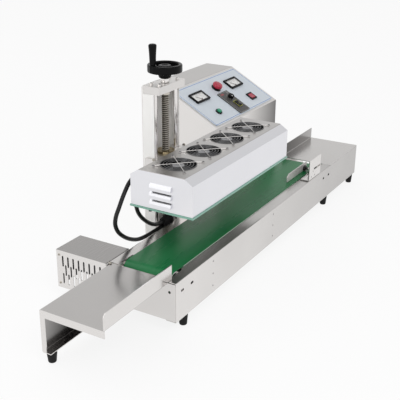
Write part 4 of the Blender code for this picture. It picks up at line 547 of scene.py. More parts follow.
def make_finishes():
    """Every material of the machine by its plain name."""
    c = colours()
    f = {}
    f["rolled steel"] = brushed("rolled_steel", c.steel, 0.20)
    f["cabinet steel"] = brushed("cabinet_steel", c.steel, 0.30, grain=(10, 900, 900), tone=0.04)
    # Painted shade: the head's flat top is a darker steel than its sides.
    head_top = node_box("head_shell")[1][2] - 0.0009
    f["satin head"] = sheet_finish("satin_head", c.head, shade(c.steel, 0.72), head_top, 0.30,
        (10, 900, 10))
    # Painted shade: the cabinet's sides are a lighter steel, its top darker, and its front face darker
    # towards its far end.
    cabinet_top = node_box("cabinet_shell")[1][2] - 0.0005
    f["cabinet sheet"] = sheet_finish("cabinet_sheet", shade(c.steel, 1.08), shade(c.steel, 0.76),
        cabinet_top, 0.33, (10, 1000, 10), (CABINET_FRONT, SHELL_HIGH[0]))
    f["riveted steel"] = riveted_finish(c.steel)
    f["back plate"] = back_finish(c.steel, c.black)
    infeed_top = node_box("infeed_table")[1][2] - TABLE_UPSTAND
    outfeed_top = node_box("outfeed_table")[1][2] - UPSTAND
    f["infeed sheet"] = folded_finish("infeed_sheet", c.steel, "infeed_table", infeed_top, TABLE_SHEET,
        False)
    f["outfeed sheet"] = folded_finish("outfeed_sheet", c.steel, "outfeed_table", outfeed_top, SHEET,
        True)
    f["cover sheet"] = cover_finish(c.steel)
    f["column sheet"] = column_finish(c.steel)
    f["thread steel"] = thread_finish(c.screw)
    f["guide sheet"] = guide_finish(c.steel)
    f["bright steel"] = brushed("bright_steel", shade(c.steel, 1.1), 0.12, grain=(90, 90, 90),
        spread=0.04)
    f["oiled steel"] = brushed("oiled_steel", c.screw, 0.30, grain=(60, 60, 60), tone=0.16)
    f["brass"] = brushed("turned_brass", c.brass, 0.25, grain=(60, 60, 300))
    f["copper"] = brushed("lacquered_copper", (0.55, 0.24, 0.11), 0.32, grain=(300, 20, 60), tone=0.15)
    f["belt"] = belt_finish(c.belt)
    f["laminate"] = laminate_finish(c.laminate)
    f["bakelite"] = moulded("black_bakelite", c.black, 0.26, 60.0, 0.00003, Specular_IOR_Level=0.08,
        Coat_Weight=0.04, Coat_Roughness=0.12)
    f["moulding"] = moulded("black_moulding", shade(c.black, 1.3), 0.40, Specular_IOR_Level=0.2)
    f["rubber"] = moulded("black_rubber", shade(c.black, 1.2), 0.62, 500.0, 0.00008,
        Specular_IOR_Level=0.25)
    f["sheath"] = moulded("cable_sheath", shade(c.black, 1.1), 0.34, 700.0, 0.00003,
        Specular_IOR_Level=0.3)
    f["fan"] = moulded("fan_plastic", shade(c.black, 1.6), 0.42, Specular_IOR_Level=0.2)
    f["paint"] = moulded("motor_paint", (0.10, 0.105, 0.11), 0.45, 350.0, 0.00006)
    f["hub disc"] = moulded("hub_disc", (0.30, 0.30, 0.31), 0.35)
    f["red"] = moulded("red_moulding", c.red, 0.28, 80.0, 0.00002, Coat_Weight=0.3, Coat_Roughness=0.15)
    f["green"] = moulded("green_moulding", c.green, 0.28, 80.0, 0.00002, Coat_Weight=0.3,
        Coat_Roughness=0.15)
    f["white paint"] = moulded("white_paint", (0.85, 0.85, 0.83), 0.4)
    f["yellow paint"] = moulded("yellow_paint", (0.36, 0.36, 0.06), 0.4)
    # Painted shade: a darker copy of the bright steel wire, used for the guard rings and the guard screws.
    f["dark wire"] = brushed("dark_wire", (0.20, 0.20, 0.205), 0.30, grain=(90, 90, 90), spread=0.04)
    f["pointer"] = moulded("pointer_paint", (0.05, 0.006, 0.006), 0.45)
    return f


def sheet_finish(name, side_colour, top_colour, level, roughness, grain, dim=None):
    """Sheet metal whose flat top, above a level, carries painted shade: darker than its polished sides.

    Dim names a face at low Y, that face's level in Y and where along X its painted shade is darkest.
    """
    made, streak, cloud, (x, y, z) = sheet_start(name, side_colour, roughness, grain)
    top = z.above(level)
    side = made.tones(cloud, side_colour, 0.97, 1.03)
    # Painted shade: the face at low Y darkens towards the far end along X.
    if dim:
        face, darkest = dim
        share = (1 - (darkest - x) / 0.16).clamped() * y.under(face + 0.0006)
        side = made.mix(share, side, shade(side_colour, 0.20))
    # Painted shade: the flat top takes the darker top colour.
    flat = made.tones(cloud, top_colour, 0.95, 1.05)
    made.bump(streak, 0.00001, 0.06)
    return made.done(made.mix(top, side, flat), roughness + (streak - 0.5) * 0.06 + (cloud - 0.5) * 0.03)


def cover_finish(colour):
    """Drive cover: polished sides, painted shade on its darker top and near-black painted shade inside."""
    low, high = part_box("motor_cover")
    made, streak, cloud, (x, y, z) = sheet_start("cover_sheet", colour, 0.26, (10, 1000, 10))
    inside = x.above(low[0] + 0.0007) * x.under(high[0] - 0.0007)
    inside = inside * y.under(high[1] - 0.0007) * z.under(high[2] - 0.0007)
    # Painted shade: the top is darker than the lighter sides.
    outside = made.tones(z.above(high[2] - 0.0005), colour, 1.05, 0.60)
    made.bump(streak, 0.00001, 0.06)
    # Painted shade: the inside is painted near black.
    return made.done(made.mix(inside, outside, (0.02, 0.02, 0.02)),
        0.26 + (streak - 0.5) * 0.06 + (cloud - 0.5) * 0.05 + inside * 0.4)


def along(x, cloud):
    """Share of painted shade, which grows with the clouds and towards the outfeed end."""
    return ((x + 0.30) * 1.15 + (cloud - 0.5) * 0.25).clamped()


def folded_finish(name, colour, node, top_level, sheet, upstand):
    """Folded sheet: painted shade on its darker flat top and on the dark inner face of the leg or upstand;
    pale outer faces with painted shade towards the outfeed end.
    """
    low, high, _, size = node_box(node)
    made, streak, cloud, (x, y, z) = sheet_start(name, colour, 0.24, (10, 1000, 1000), 7.0)
    flat = z.above(top_level - 0.0006) * z.under(top_level + 0.0006)
    # Mask of the inner face of the leg or upstand, which takes painted shade.
    shade_painted_face = y.under(high[1] - sheet + 0.0004)
    if upstand:
        shade_painted_face = shade_painted_face * z.above(top_level + 0.0006) * y.above(high[1] - 2 * sheet)
        reach = ((x - low[0]) / size[0]).clamped()
        # Painted shade: the upstand's inner face is darkest at its end towards the infeed.
        inner = made.tones(reach, colour, 0.18, 0.55)
    else:
        shade_painted_face = shade_painted_face * z.under(top_level - 0.0010) * x.above(low[0] + sheet + 0.0002)
        shade_painted_face = shade_painted_face * z.above(low[2] + sheet + 0.0003)
        reach = ((x - low[0]) / 0.055).clamped()
        fall = ((top_level - z) / (top_level - low[2])).clamped()
        # Painted shade: the leg's inner face darkens away from its end and towards its foot.
        inner = made.tones(reach * 0.65 + fall * 0.35, colour, 0.60, 0.04)
    # Painted shade: the outer faces darken towards the outfeed end.
    plain = made.tones(along(x, cloud), colour, 1.06, 0.60)
    # Painted shade: the flat top is darker than the outer faces.
    top = made.tones(cloud, colour, 0.79, 0.88)
    made.bump(streak, 0.00001, 0.1)
    return made.done(made.mix(shade_painted_face, made.mix(flat, plain, top), inner),
        0.22 + (streak - 0.5) * 0.08 + (cloud - 0.5) * 0.08)


def column_finish(colour):
    """Column sheet: brushed outside; dull between the rods, with painted light making it pale there."""
    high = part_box("column_channel")[1]
    made = Finish("column_sheet", colour, 0.30)
    streak = made.streaks((1000, 1000, 10))
    _, y, _ = made.xyz()
    inside = y.under(high[1] - 0.0005)
    made.bump(streak, 0.00002, 0.3)
    # Painted light: between the rods the sheet is painted pale and not metal.
    return made.done(made.mix(inside, made.tones(streak, colour, 1.0, 1.1), (0.96, 0.95, 0.93)),
        0.30 + streak * 0.08 + inside * 0.15, 0.9 - inside * 0.9)


def thread_finish(colour):
    """Screw steel, darker and rougher in the thread's root."""
    middle = node_box("lead_screw")[2]
    made = Finish("thread_steel", colour, 0.28, 1.0)
    cloud = made.clouds(140.0, 3.0)
    x, y, _ = made.xyz()
    radius = apart(x - middle[0], y - middle[1])
    root = ((SCREW_RADIUS - 0.0003 - radius) / 0.0006).clamped()
    # Darker towards the thread's root.
    return made.done(made.mix(root * (0.75 + cloud * 0.25), shade(colour, 1.15), DARK_ROOT),
        0.24 + root * 0.3 + cloud * 0.08)


def guide_finish(colour):
    """Guide plate of satin sheet with the black boss and rod behind it."""
    high = node_box("guide_plate")[1]
    made = Finish("guide_sheet", colour, 0.34)
    cloud = made.clouds(30.0)
    _, y, _ = made.xyz()
    behind = y.under(high[1] - 0.0018) * y.above(high[1] - 0.0120)
    return made.done(made.mix(behind, made.tones(cloud, colour, 0.98, 1.1), (0.012, 0.012, 0.012)),
        0.32 + cloud * 0.08 + behind * 0.10, 0.25 - behind * 0.25)


def riveted_finish(colour):
    """Front panel: rolled sheet with two columns of small flush rivets."""
    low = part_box("front_side_panel")[0]
    made, streak, cloud, (x, _, z) = sheet_start("riveted_steel", colour, 0.22, (10, 1000, 1000))
    spots = None
    for place in RIVET_PLACES:
        for level in RIVET_LEVELS:
            radius = apart(x - (low[0] + place), z - level)
            spots = radius if spots is None else spots.least(radius)
    rivet = spots.under(RIVET)
    rim = spots.band(RIVET + 0.00005, 0.0002)
    # Painted shade: the panel darkens towards the outfeed end.
    plain = made.tones(along(x, cloud), colour, 1.06, 0.60)
    made.bump(streak * 0.05 + rim, 0.0002, 0.4)
    return made.done(made.mix(rivet.most(rim), plain, (0.16, 0.155, 0.15)),
        0.22 + (streak - 0.5) * 0.08 + (cloud - 0.5) * 0.08 + rivet * 0.15)


def back_finish(colour, black):
    """Cabinet back: steel, with the black mouldings of the mains inlet and the fuse holder."""
    low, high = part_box("cabinet_back")
    made = Finish("back_plate", colour, 0.30, 1.0)
    x, y, z = made.xyz()
    inlet = x.band(high[0] - INLET_AT[0], INLET_HALF[0]) * z.band(low[2] + INLET_AT[1], INLET_HALF[1])
    proud = y.above(node_box("cabinet_shell")[1][1] + 0.0002)
    moulding = inlet.most(proud)
    cloud = made.clouds(12.0)
    return made.done(made.mix(moulding, made.tones(cloud, colour, 0.96, 1.03), black),
        0.28 + cloud * 0.08, 1 - moulding)


SCREW_RADIUS = 0.00725
DARK_ROOT = (0.05, 0.045, 0.035)
BELT_SHEET = 0.002
RIVET = 0.0013
INLET_AT = (0.045, 0.040)
INLET_HALF = (0.0242, 0.0157)
SHEET = 0.0012
TABLE_SHEET = 0.0015
TABLE_UPSTAND = 0.0275
UPSTAND = 0.025
RIVET_PLACES = (0.120, 0.360)
RIVET_LEVELS = (0.084, 0.0605, 0.037)


def belt_finish(colour):
    """Coated belt: glossy green with a faint weave from beneath, scuffed along the middle."""
    made = Finish("belt_coating", colour, 0.14, Specular_IOR_Level=0.25)
    middle = node_box("conveyor_belt")[2]
    x, y, _ = made.xyz()
    scuff = made.noise(made.place(stretch=(5, 60, 60)), 1.0, 4.0, 0.6)
    wide = made.clouds(12.0, 3.0)
    lane = 1 - ((y - middle[1]).size() / 0.03).least(1.0)
    weave = x.repeat(0.0011) * y.repeat(0.0011) * (1 / 0.00055 ** 2)
    made.bump(weave, 0.00002, 0.5)
    return made.done(made.tones(scuff * 0.5 + lane * 0.25, colour, 0.86, 1.22),
        0.20 + scuff * 0.12 + lane * wide * 0.10)


def laminate_finish(colour):
    """Laminate plate: grey faces, and a green cut edge that shows its layers."""
    _, high, middle, size = node_box("head_base_plate")
    made = Finish("laminate_plate", colour, 0.30, Coat_Weight=0.3, Coat_Roughness=0.2)
    x, y, z = made.xyz()
    edge = ((x - middle[0]).size() - size[0] / 2).most((y - middle[1]).size() - size[1] / 2).above(-0.003)
    layers = z.repeat(0.00075) / 0.000375
    cloud = made.clouds(30.0, 3.0)
    green = made.tones(layers * 0.5 + cloud * 0.4, colour, 0.8, 1.3)
    face = made.mix(cloud, (0.10, 0.11, 0.105), (0.14, 0.15, 0.145))
    bumper = z.under(high[2] - 0.0032)
    return made.done(made.mix(bumper, made.mix(edge, face, green), (0.006, 0.006, 0.006)),
        0.26 + cloud * 0.12)


# Starts of node names by finish
NODE_FINISH = {"riveted steel": "front_side_panel", "cover sheet": "motor_cover",
    "infeed sheet": "infeed_table", "outfeed sheet": "outfeed_table", "guide sheet": "guide_plate",
    "column sheet": "column_channel", "satin head": "head_shell", "cabinet sheet": "cabinet_shell",
    "back plate": "cabinet_back",
    "rolled steel": "back_side_panel infeed_end_plate belt_bed motor_mount guide_bracket",
    "bright steel": "drive_roller tail_roller shaft_coupling guide_rod fan_guard",
    "cabinet steel": "column_base column_cap lift_carriage", "oiled steel": "lead_screw",
    "brass": "lead_nut", "copper": "induction_coil", "laminate": "head_base_plate",
    "belt": "conveyor_belt", "paint": "gear_motor", "moulding": "head_gland",
    "rubber": "rail_gland foot_",
    "bakelite": "guide_knob handwheel wheel_handle meter_ run_switch speed_knob", "sheath": "head_cable",
    "fan": "fan_rotor", "pointer": "needle", "red": "estop_button power_rocker", "green": "start_button",
    }


class SEALER_OT_frame_finishes(bpy.types.Operator):
    """Give every node of the frame its finish"""

    bl_idname = "sealer.frame_finishes"
    bl_label = "Frame finishes"

    def execute(self, context):
        finishes = make_finishes()
        FRAME["finishes"] = finishes
        looks = {start: finishes[finish] for finish,
            starts in NODE_FINISH.items() for start in starts.split()}
        looks["control_panel"] = panel_finish()
        for name, node in FRAME["nodes"].items():
            look = next(look for start, look in looks.items() if name.startswith(start))
            node.data.materials.clear()
            node.data.materials.append(look)
        return {"FINISHED"}


# Control panel plane

SHELL_LOW, SHELL_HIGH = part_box("cabinet_shell")
SHELL_DEPTH = 0.190
PANEL_RISE = 0.066
PANEL_RUN = 0.120
CABINET_FRONT = SHELL_HIGH[1] - SHELL_DEPTH
SLOPE = math.atan2(PANEL_RISE, PANEL_RUN)
SLOPE_LENGTH = math.hypot(PANEL_RISE, PANEL_RUN)
PANEL = (Matrix.Translation((SHELL_LOW[0], CABINET_FRONT,
    SHELL_HIGH[2] - PANEL_RISE)) @ Matrix.Rotation(SLOPE, 4, "X"))
PANEL_TOP = 0.0013
PANEL_LINE = 0.0098


def panel_finish():
    """Printed sheet: light blue-grey with a blue border line; what stands proud of it is dark."""
    c = colours()
    made = Finish("printed_panel", c.panel, 0.40)
    x, s, z = panel_coordinates(made)
    width = SHELL_HIGH[0] - SHELL_LOW[0]
    across = (x - width / 2).size() - (width / 2 - PANEL_LINE)
    up = (s - SLOPE_LENGTH / 2).size() - (SLOPE_LENGTH / 2 - PANEL_LINE)
    line = across.most(up).band(0.0, 0.00055)
    cloud = made.clouds(60.0)
    sheet = made.mix(line, made.tones(cloud, c.panel, 0.96, 1.04), c.line)
    left, low = x - CONTROLLER[0], s - CONTROLLER[1]
    plate = left.band(0.0, CONTROLLER_SIZE[0] / 2) * low.band(0.0, CONTROLLER_SIZE[1] / 2)
    border = (left.size() - (CONTROLLER_SIZE[0] / 2 - 0.0014)).most(
        low.size() - (CONTROLLER_SIZE[1] / 2 - 0.0014)).band(0.0, 0.0003)
    red = left.band(-0.0095, 0.0062) * low.band(0.0285, 0.0022)
    grey = left.band(0.0150, 0.0045) * low.band(0.0290, 0.0030)
    knob_x, knob_s = x - KNOB[0], s - KNOB[1]
    radius = apart(knob_x, knob_s)
    angle = knob_x.math("ARCTAN2", knob_x, knob_s)
    ticks = angle.repeat(math.radians(30)).under(math.radians(3)) * radius.band(0.0094, 0.0008)
    ticks = ticks * angle.size().under(math.radians(140))
    dark = made.mix(plate, shade(c.black, 1.4), made.mix(cloud, (0.045, 0.044, 0.042),
        (0.060, 0.058, 0.055)))
    dark = made.mix(plate * border.most(ticks), dark, (0.42, 0.42, 0.40))
    dark = made.mix(plate * red, dark, (0.30, 0.045, 0.05))
    dark = made.mix(plate * grey, dark, (0.20, 0.20, 0.20))
    return made.done(made.mix(z.above(PANEL_TOP + 0.0002), sheet, dark), 0.34 + cloud * 0.10)


# Stage

SKY_WHITE_BELOW = 0.05
SKY_GREY_ABOVE = 0.45
SKY_OVERHEAD = 0.75
FLOOR_GLOW = 0.86
FLOOR_SIZE = 12.0
VIEW_FROM = (-1.2525, -0.7626, 0.6828)
VIEW_TURN = (30.65, 21.53, 0.27)
VIEW_SHIFT = (0.0125, -0.02175)


class SEALER_OT_stage(bpy.types.Operator):
    """Camera, lamps, floor and plain surroundings"""

    bl_idname = "sealer.stage"
    bl_label = "Stage"

    def execute(self, context):
        stage = context.scene.sealer_stage
        camera_at_the_view(stage.lens)
        lamp("key_lamp", (-1.4, -2.2, 2.6), (0, 0, 0.15), 1.6, stage.key)
        lamp("fill_lamp", (-2.6, 0.6, 1.5), (0, 0, 0.15), 1.8, stage.fill)
        lamp("back_lamp", (-0.5, 2.4, 3.0), (0, 0, 0.2), 2.0, stage.fill * 0.8)
        floor = plane("floor", FLOOR_SIZE)
        floor.data.materials.append(floor_finish())
        surroundings(stage.sky)
        context.scene.view_settings.view_transform = "Standard"
        return {"FINISHED"}


def camera_at_the_view(lens):
    """Camera where the photograph was taken from."""
    yaw, pitch, roll = (math.radians(angle) for angle in VIEW_TURN)
    ahead = Vector((math.cos(yaw) * math.cos(pitch), math.sin(yaw) * math.cos(pitch), -math.sin(pitch)))
    right = Vector((math.sin(yaw), -math.cos(yaw), 0))
    up = right.cross(ahead)
    side = right * math.cos(roll) + up * math.sin(roll)
    top = up * math.cos(roll) - right * math.sin(roll)
    data = bpy.data.cameras.new("view")
    data.lens, data.sensor_width = lens, 36.0
    data.shift_x, data.shift_y = VIEW_SHIFT
    data.clip_end = 50.0
    view = placed("view", data)
    view.matrix_world = Matrix((*zip(side, top, -ahead, VIEW_FROM), (0, 0, 0, 1)))
    bpy.context.scene.camera = view


def lamp(name, place, aim, size, power):
    """Square area lamp that faces a point."""
    data = bpy.data.lights.new(name, "AREA")
    data.energy, data.size = power, size
    turn = (Vector(aim) - Vector(place)).to_track_quat("-Z", "Y").to_matrix().to_4x4()
    placed(name, data).matrix_world = Matrix.Translation(place) @ turn


def plane(name, size):
    """Flat square on the floor."""
    mesh = bpy.data.meshes.new(name)
    h = size / 2
    mesh.from_pydata([(-h, -h, 0), (h, -h, 0), (h, h, 0), (-h, h, 0)], [], [(0, 1, 2, 3)])
    return placed(name, mesh)


def show(tree, plain, seen, share=1.0):
    """Plain shader for diffuse rays; for camera, glossy and transmission rays a share of the seen one."""
    path = tree.nodes.new("ShaderNodeLightPath")
    camera, glossy, clear = (Field(tree, path.outputs[f"Is {kind} Ray"]) for kind in ("Camera", "Glossy",
        "Transmission"))
    mixed = tree.nodes.new("ShaderNodeMixShader")
    fill(tree, mixed.inputs[0], camera.most(glossy).most(clear) * share)
    tree.links.new(plain, mixed.inputs[1])
    tree.links.new(seen, mixed.inputs[2])
    out = next(n for n in tree.nodes if n.type.startswith("OUTPUT"))
    tree.links.new(mixed.outputs[0], out.inputs[0])


def floor_finish():
    """White floor that keeps the machine's soft shadow."""
    made = Finish("white_floor", (0.96, 0.96, 0.96), 0.6)
    glow = made.tree.nodes.new("ShaderNodeEmission")
    show(made.tree, made.shader.outputs[0], glow.outputs[0], FLOOR_GLOW)
    return made.material


def surroundings(strength):
    """Plain light from all round; seen directly it is white and fades to grey overhead."""
    world = bpy.data.worlds.new("surroundings")
    world.use_nodes = True
    bpy.context.scene.world = world
    tree = world.node_tree
    sky = next(n for n in tree.nodes if n.type == "BACKGROUND")
    bright = tree.nodes.new("ShaderNodeBackground")
    for light in (sky, bright):
        light.inputs["Color"].default_value = (1, 1, 1, 1)
    where = tree.nodes.new("ShaderNodeTexCoord")
    parts = tree.nodes.new("ShaderNodeSeparateXYZ")
    tree.links.new(where.outputs["Generated"], parts.inputs[0])
    height = Field(tree, parts.outputs[2])
    climb = ((height - SKY_WHITE_BELOW) / (SKY_GREY_ABOVE - SKY_WHITE_BELOW)).clamped()
    sky.inputs["Strength"].default_value = strength
    fill(tree, bright.inputs["Strength"], 1 - climb * (1 - SKY_OVERHEAD))
    show(tree, sky.outputs[0], bright.outputs[0])


# Lifting column

SCREW_LOW, SCREW_HIGH, SCREW_MIDDLE, _ = node_box("lead_screw")
AXIS = (SCREW_MIDDLE[0], SCREW_MIDDLE[1], 0.0)
CAP_LOW, CAP_HIGH, CAP_MIDDLE, _ = node_box("column_cap")
WHEEL_LOW, WHEEL_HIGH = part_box("handwheel")
GRIP_LOW, GRIP_HIGH, GRIP_MIDDLE, _ = node_box("wheel_handle")
NECK_RADIUS = 0.0045
WHEEL_RADIUS = 0.032
RIM_LOW = WHEEL_LOW[2] + 0.0105
RIM_HIGH = RIM_LOW + 0.0145


class SEALER_OT_column(bpy.types.Operator):
    """Threaded screw, hand wheel and grip"""

    bl_idname = "sealer.column"
    bl_label = "Lifting column"

    def execute(self, context):
        lead_screw()
        hand_wheel()
        wheel_grip()
        column_details()
        return {"FINISHED"}


def lead_screw():
    """Screw with a trapezoid thread: radius follows the flank's share of one lead."""
    s = sizes()
    low, high = SCREW_LOW[2], SCREW_HIGH[2]
    start, end = low + 0.0057, CAP_LOW[2] - 0.0085
    collar = 0.00825
    root = SCREW_RADIUS - s.thread_depth
    core = revolve([(0, low), (NECK_RADIUS, low), (NECK_RADIUS, start), (root, start), (root, end),
        (collar - 0.0006, end), (collar, end + 0.0006), (collar, end + 0.0069),
        (collar - 0.0006, end + 0.0075), (NECK_RADIUS, end + 0.0075), (NECK_RADIUS, high), (0, high)],
        AXIS, 40)
    thread = helix_thread(AXIS, start + 0.001, end, SCREW_RADIUS, s.thread_depth, s.thread_lead)
    piece("lifting_screw", "lift_screw", "thread steel", core, thread, stands_for=["lead_screw"],
        angle=28)


def hand_wheel():
    """Drum-shaped wheel: a turned rim and hub, waisted spokes and the grip's boss."""
    r, ease = WHEEL_RADIUS, sizes().wheel_round
    low, high = RIM_LOW, RIM_HIGH
    section = rounded([(r - 0.0068, low), (r, low), (r, high), (r - 0.0068, high)], ease, 5, closed=True)
    rim = revolve(section, AXIS, 96, closed=True)
    bottom = WHEEL_LOW[2]
    hub = revolve(rounded([(NECK_RADIUS + 0.0003, bottom), (0.0106, bottom), (0.012, bottom + 0.003),
        (0.012, high - 0.003), (0.0105, high - 0.002), (0.0058, high - 0.0022), (0.0052, high - 0.0032),
        (0, high - 0.0032)], 0.001, 3), AXIS, 56)
    parts = [rim, hub]
    pin = np.array((GRIP_MIDDLE[0] - AXIS[0], GRIP_MIDDLE[1] - AXIS[1]))
    first = math.atan2(pin[1], pin[0])
    reach = np.linspace(0.0095, r - 0.004, 14)
    width = 0.0034 + 0.0022 * ((reach - 0.02) / 0.011) ** 2
    height = 0.0026 + 0.0006 * ((reach - 0.02) / 0.011) ** 2
    angle = ring(20)
    level = (low + high) / 2 - 0.001
    for k in range(3):
        spoke = np.stack((np.broadcast_to(reach[:, None], (14, 20)), width[:, None] * np.cos(angle)[None],
            level + height[:, None] * np.sin(angle)[None]), -1)
        turn = Matrix.Translation(AXIS) @ Matrix.Rotation(first + TAU * k / 3, 4, "Z")
        parts.append(moved(grid(spoke, around=True), turn))
    place = (AXIS[0] + pin[0], AXIS[1] + pin[1], 0)
    parts.append(revolve(rounded([(0, low + 0.002), (0.0064, low + 0.002), (0.00675, high + 0.0004),
        (0, high + 0.0004)], 0.0006, 2), place, 40))
    parts.append(revolve([(0, high), (0.0025, high), (0.0025, WHEEL_HIGH[2]), (0, WHEEL_HIGH[2])], place,
        20))
    piece("hand_wheel", "lift_screw", "bakelite", *parts, stands_for=["handwheel"])


def wheel_grip():
    """Waisted grip, widest near its domed end, hollow over the pin."""
    low, high = GRIP_LOW[2], GRIP_HIGH[2]
    z = np.linspace(low + 0.0008, high - 0.0035, 18)
    share = (z - z[0]) / (z[-1] - z[0])
    swell = 0.0059 + 0.0016 * share - 0.0004 * np.sin(math.pi * share)
    turn = np.linspace(0, math.pi / 2, 8)
    dome = [(swell[-1] - 0.0034 * (1 - math.cos(t)), z[-1] + 0.0035 * math.sin(t)) for t in turn[1:]]
    profile = [(0, high - 0.006), (0.0028, high - 0.006), (0.0028, low), (0.0049, low), *zip(swell, z),
        *dome, (0.0016, high), (0.0014, high - 0.0008), (0, high - 0.0008)]
    place = (GRIP_MIDDLE[0], GRIP_MIDDLE[1], 0)
    piece("turning_grip", "wheel_grip", "bakelite", revolve(profile, place, 44),
        stands_for=["wheel_handle"], angle=40)


def column_details():
    """Collar and grub screw above the cap, and the cap screws that hold the cap and the carriage."""
    top = CAP_HIGH[2]
    collar = revolve(rounded([(NECK_RADIUS + 0.0003, top + 0.0004), (0.0082, top + 0.0004),
        (0.0082, top + 0.0078), (NECK_RADIUS + 0.0003, top + 0.0078)], 0.0006, 3, closed=True), AXIS, 40,
        closed=True)
    grub = socket_head(0.0036, 0.0006, facing((AXIS[0] - 0.0081, AXIS[1], top + 0.0042), (-1, 0, 0)))
    piece("screw_collar", "lift_screw", "bright steel", collar, grub)
    heads = [socket_head(0.0068, 0.0036, Matrix.Translation((x, y, top))) for x in (CAP_LOW[0] + 0.0135,
        CAP_HIGH[0] - 0.0135) for y in (CAP_MIDDLE[1] - 0.0088, CAP_MIDDLE[1] + 0.0088)]
    piece("cap_screws", "machine_base", "bright steel", *heads)
    low, high, middle, _ = node_box("lift_carriage")
    cheeks = [socket_head(0.0058, 0.0022, facing((x, -0.0195, middle[2] + dz), (side, 0, 0))) for x,
        side in ((low[0], -1), (high[0], 1)) for dz in (-0.0085, 0.0085)]
    piece("carriage_screws", "sealing_head", "oiled steel", *cheeks)


# Fans

FAN_RADIUS = 0.032
SHELL_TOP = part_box("head_shell")[1][2]


class SEALER_OT_fans(bpy.types.Operator):
    """Guards, curved blades and dark ducts of the four fans"""

    bl_idname = "sealer.fans"
    bl_label = "Fans"

    def execute(self, context):
        for k in range(1, 5):
            middle = node_box(f"fan_guard_{k}")[2]
            fan_guard(k, middle)
            fan_rotor(k, middle)
            fan_duct(k, middle)
        return {"FINISHED"}


def fan_guard(k, middle):
    """Round wires: concentric rings under two crossing bars that drop to flattened, screwed eyes."""
    s = sizes()
    wire = s.guard_wire / 2
    bar = 1.35 * wire
    low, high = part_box(f"fan_guard_{k}")
    bottom, top = low[2] + 0.0001, high[2]
    centre = (middle[0], middle[1], 0)
    count = s.guard_rings
    parts = []
    for n in range(count):
        radius = FAN_RADIUS - 0.0008 - n * (FAN_RADIUS - 0.011) / count
        parts.append(revolve(disc_outline(wire, 10) + (radius, top - 2 * bar - wire + 0.0001), centre, 72,
            closed=True))
    span = 0.03075
    for a in (1, -1):
        reach = np.linspace(-1, 1, 25)
        climb = np.clip((1 - np.abs(reach)) / 0.2, 0, 1)
        line = np.stack((middle[0] + reach * (span - 0.0018), middle[1] + a * reach * (span - 0.0018),
            bottom + bar + climb * (top - bottom - 2 * bar)), -1)
        parts.append(swept(line, disc_outline(bar, 10), (-a, 1, 0)))
        for end in (-1, 1):
            x, y = middle[0] + end * span, middle[1] + a * end * span
            eye = rounded([(0.0012, bottom), (0.0026, bottom), (0.0026, bottom + 0.0009),
                (0.0012, bottom + 0.0009)], 0.0003, 2, closed=True)
            parts.append(revolve(eye, (x, y, 0), 24, closed=True))
    # Painted shade: the rings take the darker copy of the bars' steel.
    piece(f"guard_rings_{k}", "sealing_head", "dark wire", *parts[:count])
    piece(f"wire_guard_{k}", "sealing_head", "bright steel", *parts[count:],
        stands_for=[f"fan_guard_{k}"])
    heads = [pan_head(0.0044, 0.0012, Matrix.Translation((middle[0] + a * span, middle[1] + b * span,
        bottom + 0.0009)), 24) for a in (-1, 1) for b in (-1, 1)]
    piece(f"guard_screws_{k}", "sealing_head", "dark wire", *heads)


def fan_rotor(k, middle):
    """Hub and swept blades: thin ellipses whose pitch falls and lean grows from root to tip."""
    low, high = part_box(f"fan_rotor_{k}")
    bottom, top = low[2], high[2]
    hub_radius, boss = 0.0135, 0.0018
    centre = (middle[0], middle[1], 0)
    hub = revolve(rounded([(0, bottom + 0.008), (boss, bottom + 0.008), (boss, bottom),
        (hub_radius, bottom), (hub_radius, top), (0, top)], 0.0012, 4), centre, 48)
    label = revolve([(0, top + 0.0002), (0.0102, top + 0.0002), (0.0104, top)], centre, 40)
    parts = [hub]
    rows, around = 12, 14
    reach = np.linspace(hub_radius - 0.001, FAN_RADIUS - 0.0014, rows)[:, None]
    share = (reach - reach[0]) / (reach[-1] - reach[0])
    angle = ring(around)[None]
    chord = (0.0064 + 0.0032 * share) * np.cos(angle)
    thick = (0.00075 - 0.00035 * share) * np.sin(angle)
    pitch = np.radians(44 - 16 * share)
    camber = 0.0011 * (1 - (chord / 0.0096) ** 2)
    tangent = chord * np.cos(pitch) - (thick + camber) * np.sin(pitch)
    height = chord * np.sin(pitch) + (thick + camber) * np.cos(pitch)
    turn = 0.28 * share ** 2 + tangent / reach
    level = (bottom + top) / 2
    height = np.clip(height, bottom - level, top - level)
    for blade in range(sizes().blade_count):
        a = turn + TAU * blade / sizes().blade_count
        points = np.stack((middle[0] + reach * np.cos(a), middle[1] + reach * np.sin(a), level + height),
            -1)
        tip = points[-1:].mean(1, keepdims=True).repeat(around, 1)
        parts.append(grid(np.concatenate((points, tip)), around=True))
    piece(f"fan_blades_{k}", f"fan_{k}", "fan", *parts, stands_for=[f"fan_rotor_{k}"])
    piece(f"hub_disc_{k}", f"fan_{k}", "hub disc", label)


def fan_duct(k, middle):
    """Black lining of the fan's hole, flared at the top."""
    top, r = SHELL_TOP, FAN_RADIUS
    centre = (middle[0], middle[1], 0)
    profile = rounded([(r - 0.00005, top - 0.0152), (r - 0.0006, top - 0.0152),
        (r - 0.0006, top - 0.0008), (r - 0.00005, top - 0.0003)], 0.0004, 2)
    piece(f"fan_duct_{k}", "sealing_head", "fan", revolve(profile, centre, 72))


# Conveyor

class SEALER_OT_conveyor(bpy.types.Operator):
    """Belt, feet and the screws of the frame"""

    bl_idname = "sealer.conveyor"
    bl_label = "Conveyor"

    def execute(self, context):
        belt()
        feet()
        frame_screws()
        return {"FINISHED"}


